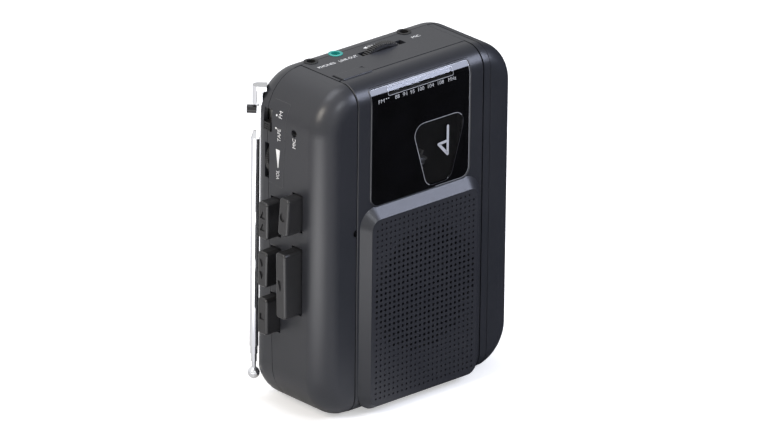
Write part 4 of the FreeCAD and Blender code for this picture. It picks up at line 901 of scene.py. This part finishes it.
@dataclass
class Lens:
    """The lens's raised surround, the dial's numbers, the panes with highlights painted on their edges and
    the tape arrow.

    The number table gives each text with its centre and length, and each pane or frame its half width,
    lower and upper edge. The painted highlight line runs round the right of the lens: left, right, low, high,
    radius.
    """

    dial_height: float = 130.3
    digit_height: float = 1.5
    digit_thin: float = 0.018
    digit_proud: float = 0.07
    numbers: tuple[tuple[str, float, float], ...] = (
        ("FM", -20.9, 3.0), ("88", -12.7, 2.2), ("91", -8.7, 2.2), ("95", -4.8, 2.2), ("100", -0.2, 3.0),
        ("104", 4.9, 3.0), ("108", 10.1, 3.0), ("MHz", 16.1, 4.0))
    dash_starts: Pair = (-18.6, -17.5)
    dash_rise: float = 0.5
    dash_length: float = 0.5
    dash_width: float = 0.3
    dash_proud: float = 0.06
    arrow: tuple[Pair, ...] = ((14.2, 110.9), (14.2, 99.2), (9.4, 104.4), (14.2, 104.8))
    arrow_width: float = 1.15
    joint_levels: Pair = (-0.05, 0.022)
    joint_sides: int = 24
    window: tuple[Pair, ...] = ((3.3, 88.2), (15.9, 88.2), (24.0, 115.5), (-4.8, 115.5))
    window_corner: float = 4.6
    dial_pane: Triple = (17.0, 131.62, 135.17)
    dial_corner: float = 0.6
    pane_thick: float = 1.2
    pane_rows: int = 24
    edge_root: float = -0.1
    edge_proud: float = 0.08
    window_edge: float = 0.19
    dial_edge: float = 0.2
    fine_edge: float = 0.16
    fine_proud: float = 0.06
    dull_proud: float = 0.04
    highlight_line: tuple[float, ...] = (-24.8, 25.35, 87.2, 135.7, 4.0)
    highlight_end: float = 8.0
    frame: Triple = (25.95, 86.65, 136.25)
    frame_corners: tuple[float, ...] = (4.2, 4.2, 1.4, 1.4)
    frame_width: float = 0.9
    frame_proud: float = 0.3
    frame_crest: float = 0.35
    crease: float = math.radians(30)

    def window_path(self, steps: int = 6) -> list[Pair]:
        """The window's outline from its lower left corner, with this many spans round each corner."""
        return rounded_path(list(self.window), [self.window_corner] * 4, steps)

    def dial(self) -> None:
        """Prints the dial's numbers, with two dashes after its first word."""
        work = bmesh.new()
        for text, centre, length in self.numbers:
            word = Word(text, (centre, self.dial_height), length, self.digit_height, self.digit_thin,
                        self.digit_proud)
            word.draw(work, FRONT)
        middle = self.dial_height + self.dash_rise
        for start in self.dash_starts:
            stroke(work, FRONT, [(start, middle), (start + self.dash_length, middle)], self.dash_width,
                   high=self.dash_proud)
        place("dial_numbers", work, DIAL_INK, "gloss_black", "door")

    def tape_arrow(self) -> None:
        """Prints the arrow of straight strokes with round joints, which rise a hair above the strokes."""
        work = bmesh.new()
        for here, after in zip(self.arrow, self.arrow[1:]):
            stroke(work, FRONT, [here, after], self.arrow_width)
        for joint in self.arrow:
            slab(work, FRONT, circle(joint, self.arrow_width / 2, self.joint_sides), *self.joint_levels)
        place("tape_arrow", work, GREY_INK, "gloss_black", "door")

    def paint_edge_highlights(self) -> None:
        """Paints highlights on the edges that catch the light, as pale strokes: the window's top and left,
        the dial's, the lens's right.
        """
        work = bmesh.new()
        path = self.window_path()
        turn = len(path) // 4
        stroke(work, FRONT, path[2 * turn + 3:] + path[:turn - 2], self.window_edge,
               low=self.edge_root, high=self.edge_proud)
        half, low, high = self.dial_pane
        path = rounded_path(rectangle(-half, half, low, high), [self.dial_corner] * 4, steps=3)
        stroke(work, FRONT, dense(path), self.dial_edge, closed=True,
               low=self.edge_root, high=self.edge_proud)
        left, right, low, high, radius = self.highlight_line
        corner = arc((right - radius, low + radius), radius, 360, 270, 7)
        path = [(left, high), (right, high), *corner, (self.highlight_end, low)]
        stroke(work, FRONT, dense(path, closed=False), self.fine_edge, low=self.edge_root,
               high=self.fine_proud)
        # These pale strokes are painted highlights on the lit edges.
        place("painted_lens_highlights", work, EDGE_HIGHLIGHT_ACRYLIC, "gloss_black", "door")

    def surround(self) -> None:
        """Lays the raised frame round the lens, and the window's edge on its other sides, left dull in the
        case's colour beside the painted highlights.
        """
        work = bmesh.new()
        half, low, high = self.frame
        path = rounded_path(rectangle(-half, half, low, high), list(self.frame_corners))
        stroke(work, FRONT, dense(path), self.frame_width, closed=True, low=self.edge_root,
               high=self.frame_proud, crest=self.frame_crest)
        path = self.window_path()
        turn = len(path) // 4
        stroke(work, FRONT, path[turn - 3:2 * turn + 4], self.fine_edge, low=self.edge_root,
               high=self.dull_proud)
        place("lens_surround", work, CASE_ABS, "shell_charcoal", "door")

    def panes(self) -> None:
        """Builds both panes, the dial's one bent evenly with the lens, in place of their plain CAD node."""
        work = bmesh.new()
        slab(work, FRONT, self.window_path(steps=10), -self.pane_thick, 0.0)
        half, low, high = self.dial_pane
        section = ((-half, 0.0), (half, 0.0), (half, -self.pane_thick), (-half, -self.pane_thick))
        rows = [[work.verts.new(FRONT.at(across, low + (high - low) * i / self.pane_rows, level))
                 for across, level in section] for i in range(self.pane_rows + 1)]
        for below, above in zip(rows, rows[1:]):
            band(work, below, above)
        work.faces.new(rows[0])
        work.faces.new(rows[-1])
        piece = place("smoked_panes", work, WINDOW_ACRYLIC, "smoked_clear", "door", smooth=self.crease)
        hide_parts("door_windows")

    def build(self) -> None:
        """Builds the lens's pieces, which ride on the door."""
        self.dial()
        self.tape_arrow()
        self.paint_edge_highlights()
        self.surround()
        self.panes()


@dataclass
class SpindleTips:
    """The polished steel pin that stands out of each tape spindle, with its domed end behind the window.

    Each axis has the pin's name, its body, and its place across and up. The profile gives the pin's radius
    and depth from its root to the hollow in its end.
    """

    axes: tuple[tuple[str, str, float, float], ...] = (
        ("supply_tip", "supply_reel", 3.5, 97.45), ("takeup_tip", "takeup_reel", 3.5, 54.95))
    profile: tuple[Pair, ...] = (
        (1.9, -16.9), (1.9, -17.5), (1.75, -17.8), (1.3, -18.02), (0.7, -18.12), (0.55, -17.95))
    sides: int = 28

    def build(self) -> None:
        """Builds both pins, each on its own reel."""
        for name, body, across, up in self.axes:
            work = bmesh.new()
            rings = [[work.verts.new(Vector((x, depth, z)) * MM)
                      for x, z in circle((across, up), radius, self.sides)] for radius, depth in self.profile]
            for outer, inner in zip(rings, rings[1:]):
                band(work, outer, inner)
            work.faces.new(rings[0])
            work.faces.new(rings[-1])
            place(name, work, GROUND_STEEL, "polished_steel", body)


@dataclass
class Legends:
    """The words and signs printed on the case, and the fine step round the controls of its left side, a thin
    line painted paler as its highlight.
    """

    top_words: tuple[Word, ...] = (
        Word("PHONES", (-25.6, 5.3), 8.6, 1.65), Word("LINE OUT", (-14.5, 5.2), 9.3, 1.65),
        Word("TUNING", (2.9, 9.3), 6.6, 1.5), Word("MIC", (21.3, 5.6), 3.9, 1.6))
    tuning_arrows: tuple[Pair, ...] = ((-3.0, -1.1), (8.8, 6.9))
    tuning_line: float = 9.3
    arrow_half: float = 0.9
    side_words: tuple[Word, ...] = (
        Word("FM", (124.6, 3.9), 2.7, 1.8), Word("TAPE", (116.1, 4.3), 5.3, 1.8),
        Word("MIC", (115.3, -4.5), 3.9, 1.8), Word("VOL", (99.4, 4.9), 3.9, 1.8))
    switch_dots: tuple[Pair, ...] = ((123.9, 6.1), (118.6, 6.1))
    dot_radius: float = 0.45
    volume_wedge: tuple[Pair, ...] = ((109.9, 6.1), (109.9, 3.7), (102.3, 4.6), (102.3, 4.9))
    control_step_highlight: tuple[Pair, ...] = (
        (129.5, 9.2), (129.5, 0.6), (128.9, 0.1), (95.0, 2.0), (94.4, 2.7), (95.2, 10.1))
    step_width: float = 0.14
    step_proud: float = 0.04

    def build(self) -> None:
        """Builds the prints and the step's line with its painted highlight, which ride on the case."""
        work = bmesh.new()
        for word in self.top_words:
            word.draw(work, TOP)
        low, high = self.tuning_line - self.arrow_half, self.tuning_line + self.arrow_half
        for tip, base in self.tuning_arrows:
            slab(work, TOP, [(tip, self.tuning_line), (base, low), (base, high)])
        place("top_prints", work, WHITE_INK, "shell_charcoal", "case")
        work = bmesh.new()
        # The step is a thin raised line, painted paler as the highlight on its edge.
        path = dense(list(self.control_step_highlight), closed=False)
        stroke(work, SIDE, path, self.step_width, high=self.step_proud)
        place("control_step_highlight", work, STEP_HIGHLIGHT_ABS, "shell_charcoal", "case")
        work = bmesh.new()
        for word in self.side_words:
            word.draw(work, SIDE)
        for dot in self.switch_dots:
            slab(work, SIDE, arc(dot, self.dot_radius, 0, 345, 15))
        slab(work, SIDE, list(self.volume_wedge))
        place("side_prints", work, WHITE_INK, "shell_charcoal", "case")


@dataclass
class EdgeWheel:
    """A thin edge wheel with a knurled rim and a dished face.

    The land is the part of each tooth that reaches the full radius. The rim's two widths are where the dish
    starts to sink and where it is deep, and the hub's two shares of the radius where it rises again.
    """

    node: str
    body: str
    slot: str
    finish: Finish
    teeth: int
    depth: float = 0.35
    land: Pair = (0.28, 0.72)
    chamfer: float = 0.3
    rim: Pair = (1.6, 1.9)
    hub: Pair = (0.35, 0.32)
    sink: float = 0.25
    crease: float = math.radians(25)

    def build(self) -> None:
        """Builds the wheel in place of its plain CAD node."""
        low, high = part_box(self.node)
        centre = (low + high) / 2 / MM
        radius = (high.x - low.x) / 2 / MM
        levels = ((low.y / MM, -self.chamfer), (low.y / MM + self.chamfer, 0.0),
                  (high.y / MM - self.chamfer, 0.0), (high.y / MM, -self.chamfer))
        tooth = ((0.0, -self.depth), (self.land[0], 0.0), (self.land[1], 0.0))
        rim = [(2 * math.pi * (i + part) / self.teeth, radius + drop)
               for i in range(self.teeth) for part, drop in tooth]
        work = bmesh.new()
        rings = [[work.verts.new(self.spot(centre, reach + inset, turn, depth)) for turn, reach in rim]
                 for depth, inset in levels]
        for below, above in zip(rings, rings[1:]):
            band(work, below, above)
        for ring, side in ((rings[0], 1), (rings[-1], -1)):
            self.dish(work, ring, centre, radius, side)
        piece = place(f"knurled_{self.node}", work, self.finish, self.slot, self.body, smooth=self.crease)
        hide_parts(self.node)

    def spot(self, centre: Vector, reach: float, turn: float, depth: float) -> Vector:
        """The point this far out from the axle, at this turn and depth, in metres."""
        return Vector((centre.x + reach * math.cos(turn), depth, centre.z + reach * math.sin(turn))) * MM

    def dish(self, work: Work, ring: list[bmesh.types.BMVert], centre: Vector, radius: float,
             side: int) -> None:
        """Closes one side of the wheel with a shallow dished face.

        Args:
            work: the working mesh.
            ring: the rim's points on this side.
            centre: the wheel's centre, in millimetres.
            radius: its outer radius.
            side: 1 for the front face, -1 for the back one.
        """
        depth = ring[0].co.y / MM
        turns = [math.atan2(point.co.z / MM - centre.z, point.co.x / MM - centre.x) for point in ring]
        steps = ((radius - self.rim[0], 0.0), (radius - self.rim[1], self.sink),
                 (radius * self.hub[0], self.sink), (radius * self.hub[1], 0.0))
        for reach, sunk in steps:
            inner = [work.verts.new(self.spot(centre, reach, turn, depth + side * sunk)) for turn in turns]
            band(work, ring, inner)
            ring = inner
        work.faces.new(ring)


# ---------------------------------------------------------------------------------------------------------
# Studio
# ---------------------------------------------------------------------------------------------------------

@dataclass(frozen=True)
class Lamp:
    """A soft lamp that faces the player: its place and size in metres, power in watts and sRGB hex colour."""

    name: str
    spot: Triple
    size: Pair
    power: float
    colour: str
    target: Triple = (0.0, 0.0, 0.07)

    def hang(self) -> None:
        """Puts the lamp in the scene."""
        data = bpy.data.lights.new(self.name, "AREA")
        data.shape = "RECTANGLE"
        data.size, data.size_y = self.size
        data.energy = self.power
        data.color = linear(self.colour)[:3]
        lamp = stand(self.name, data)
        lamp.location = self.spot
        way = Vector(self.target) - Vector(self.spot)
        lamp.rotation_euler = way.to_track_quat("-Z", "Y").to_euler()


@dataclass
class Studio:
    """A pale floor, soft lamps and the camera.

    The camera's angles are in degrees, its distances in millimetres. Each turn is the span of sidewards
    directions over which the bright side of the world or floor goes over into the dark one. The card is a
    lit patch of the floor to the player's left, which only shows in reflections.
    """

    heading: float = 42.254
    elevation: float = 22.596
    roll: float = 0.701
    distance: float = 3911.6
    lens: float = 466.0
    sensor: float = 36.0
    clip: float = 100.0
    aim_height: float = 69.28
    offset: Pair = (-0.835, -1.823)
    dark_way: Triple = (0.95, -0.3, 0.0)
    fill_light: float = 0.55
    bright_side: float = 1.0
    dark_side: float = 0.04
    world_turn: Pair = (0.2, 0.7)
    floor_half: float = 6.0
    floor_level: float = -0.0002
    floor_shade: float = 0.8
    floor_roughness: float = 0.9
    floor_glow: float = 0.45
    floor_sides: Pair = (0.75, 0.02)
    floor_turn: Pair = (-0.1, 0.6)
    card: Triple = (-0.25, -0.08, 0.0)
    card_edge: Pair = (0.03, 0.16)
    card_light: float = 4.5
    lamps: tuple[Lamp, ...] = (
        Lamp("right_softbox", (1.0, -0.88, 0.86), (0.5, 0.76), 14.0, "dfe6ff"),
        Lamp("left_softbox", (-1.2, 0.02, 1.0), (0.42, 0.55), 9.5, "fff6ea"),
        Lamp("front_softbox", (-0.05, -1.1, 1.05), (0.35, 0.35), 3.0, "f2f6ff"),
        Lamp("top_softbox", (-0.1, 0.35, 1.5), (0.9, 0.6), 6.0, "f4f6ff"))

    def camera(self) -> None:
        """Stands the camera off the left front corner, looking down a little."""
        turn, tilt, lean = (math.radians(v) for v in (self.heading, self.elevation, self.roll))
        forward = Vector((math.sin(turn) * math.cos(tilt), math.cos(turn) * math.cos(tilt), -math.sin(tilt)))
        level = Vector((math.cos(turn), -math.sin(turn), 0))
        above = level.cross(forward)
        right = level * math.cos(lean) + above * math.sin(lean)
        up = above * math.cos(lean) - level * math.sin(lean)
        data = bpy.data.cameras.new("studio_camera")
        data.lens = self.lens
        data.sensor_width = self.sensor
        data.clip_end = self.clip
        camera = stand("studio_camera", data)
        aim = Vector((0, 0, self.aim_height))
        spot = aim - right * self.offset[0] + up * self.offset[1] - forward * self.distance
        rows = Matrix((right, up, -forward)).transposed().to_4x4()
        camera.matrix_world = Matrix.Translation(spot * MM) @ rows
        bpy.context.scene.camera = camera

    def aside(self, tree: Tree, output: str) -> Socket:
        """Measures how squarely a floor point or a sky direction lies on the dark side.

        Args:
            tree: the tree that gets the nodes.
            output: the coordinate that gives the point or direction.

        Returns:
            A number's socket: 1 on the dark side, -1 on the bright one.
        """
        spot = add(tree, "ShaderNodeTexCoord").outputs[output]
        way = add(tree, "ShaderNodeVectorMath", links={0: spot}, operation="NORMALIZE").outputs["Vector"]
        side = add(tree, "ShaderNodeVectorMath", {1: self.dark_way}, {0: way}, operation="DOT_PRODUCT")
        return side.outputs["Value"]

    def straight(self, tree: Tree, rays: Node) -> Socket:
        """One for what the eye sees straight on or through a clear pane, otherwise nought."""
        kinds = {0: rays.outputs["Is Camera Ray"], 1: rays.outputs["Is Transmission Ray"]}
        return add(tree, "ShaderNodeMath", links=kinds, operation="MAXIMUM").outputs[0]

    def world(self) -> None:
        """Sets the world's light: white to the eye, and in mirrors bright on the left, dark on the right."""
        world = bpy.data.worlds.new("studio_world")
        bpy.context.scene.world = world
        world.use_nodes = True
        tree = world.node_tree
        tree.nodes.clear()
        rays = add(tree, "ShaderNodeLightPath")
        mirrored = led(tree, self.aside(tree, "Generated"), self.bright_side, self.dark_side, self.world_turn)
        lit = led(tree, rays.outputs["Is Glossy Ray"], self.fill_light, mirrored)
        strength = led(tree, self.straight(tree, rays), lit, 1.0)
        light = add(tree, "ShaderNodeBackground", {"Color": (1, 1, 1, 1)}, {"Strength": strength})
        add(tree, "ShaderNodeOutputWorld", links={"Surface": light.outputs["Background"]})

    def paper(self) -> bpy.types.Material:
        """Makes the floor's matte white paper, which mirrors show bright on the left, dark on the right.

        Returns:
            The paper's material.
        """
        material = bpy.data.materials.new("matte_white_floor")
        material.use_nodes = True
        tree = material.node_tree
        tree.nodes.clear()
        rays = add(tree, "ShaderNodeLightPath")
        mirrored = led(tree, self.aside(tree, "Object"), *self.floor_sides, self.floor_turn)
        shade = led(tree, rays.outputs["Is Glossy Ray"], self.floor_shade, mirrored)
        spot = add(tree, "ShaderNodeTexCoord").outputs["Object"]
        away = add(tree, "ShaderNodeVectorMath", {1: self.card}, {0: spot}, operation="DISTANCE")
        card = led(tree, away.outputs["Value"], self.card_light, 0.0, self.card_edge)
        lit = led(tree, rays.outputs["Is Glossy Ray"], 0.0, card)
        glow = led(tree, self.straight(tree, rays), lit, self.floor_glow)
        values = {"Roughness": self.floor_roughness, "Specular IOR Level": 0.0,
                  "Emission Color": (1, 1, 1, 1)}
        links = {"Base Color": shade, "Emission Strength": glow}
        shader = add(tree, "ShaderNodeBsdfPrincipled", values, links)
        add(tree, "ShaderNodeOutputMaterial", links={"Surface": shader.outputs["BSDF"]})
        return material

    def floor(self) -> None:
        """Lays the floor just under the base."""
        work = bmesh.new()
        corners = rectangle(-self.floor_half, self.floor_half, -self.floor_half, self.floor_half)
        work.faces.new([work.verts.new((x, y, self.floor_level)) for x, y in corners])
        mesh = bpy.data.meshes.new("studio_floor")
        work.to_mesh(mesh)
        work.free()
        mesh.materials.append(self.paper())
        floor = stand("studio_floor", mesh)

    def build(self) -> None:
        """Builds the world, the floor, the lamps and the camera."""
        self.world()
        self.floor()
        for lamp in self.lamps:
            lamp.hang()
        self.camera()


def main() -> None:
    """Builds the player's looks in order."""
    logging.basicConfig(level=logging.INFO, format="%(message)s")
    bpy.context.scene.view_settings.view_transform = "Standard"
    for finish, names in NODE_FINISHES.items():
        for name in names:
            dress(frame["nodes"][name], finish)
    assemblies = (SpeakerGrille(), Lens(), SpindleTips(), Legends(),
                  EdgeWheel("tuning_wheel", "tuning_control", "key_charcoal", KEY_ABS, teeth=90, depth=0.55),
                  EdgeWheel("volume_wheel", "volume_control", "gloss_black", KNOB_ABS, teeth=60),
                  Studio())
    for assembly in assemblies:
        LOG.info("building %s", type(assembly).__name__)
        assembly.build()


if __name__ == "__main__":
    main()
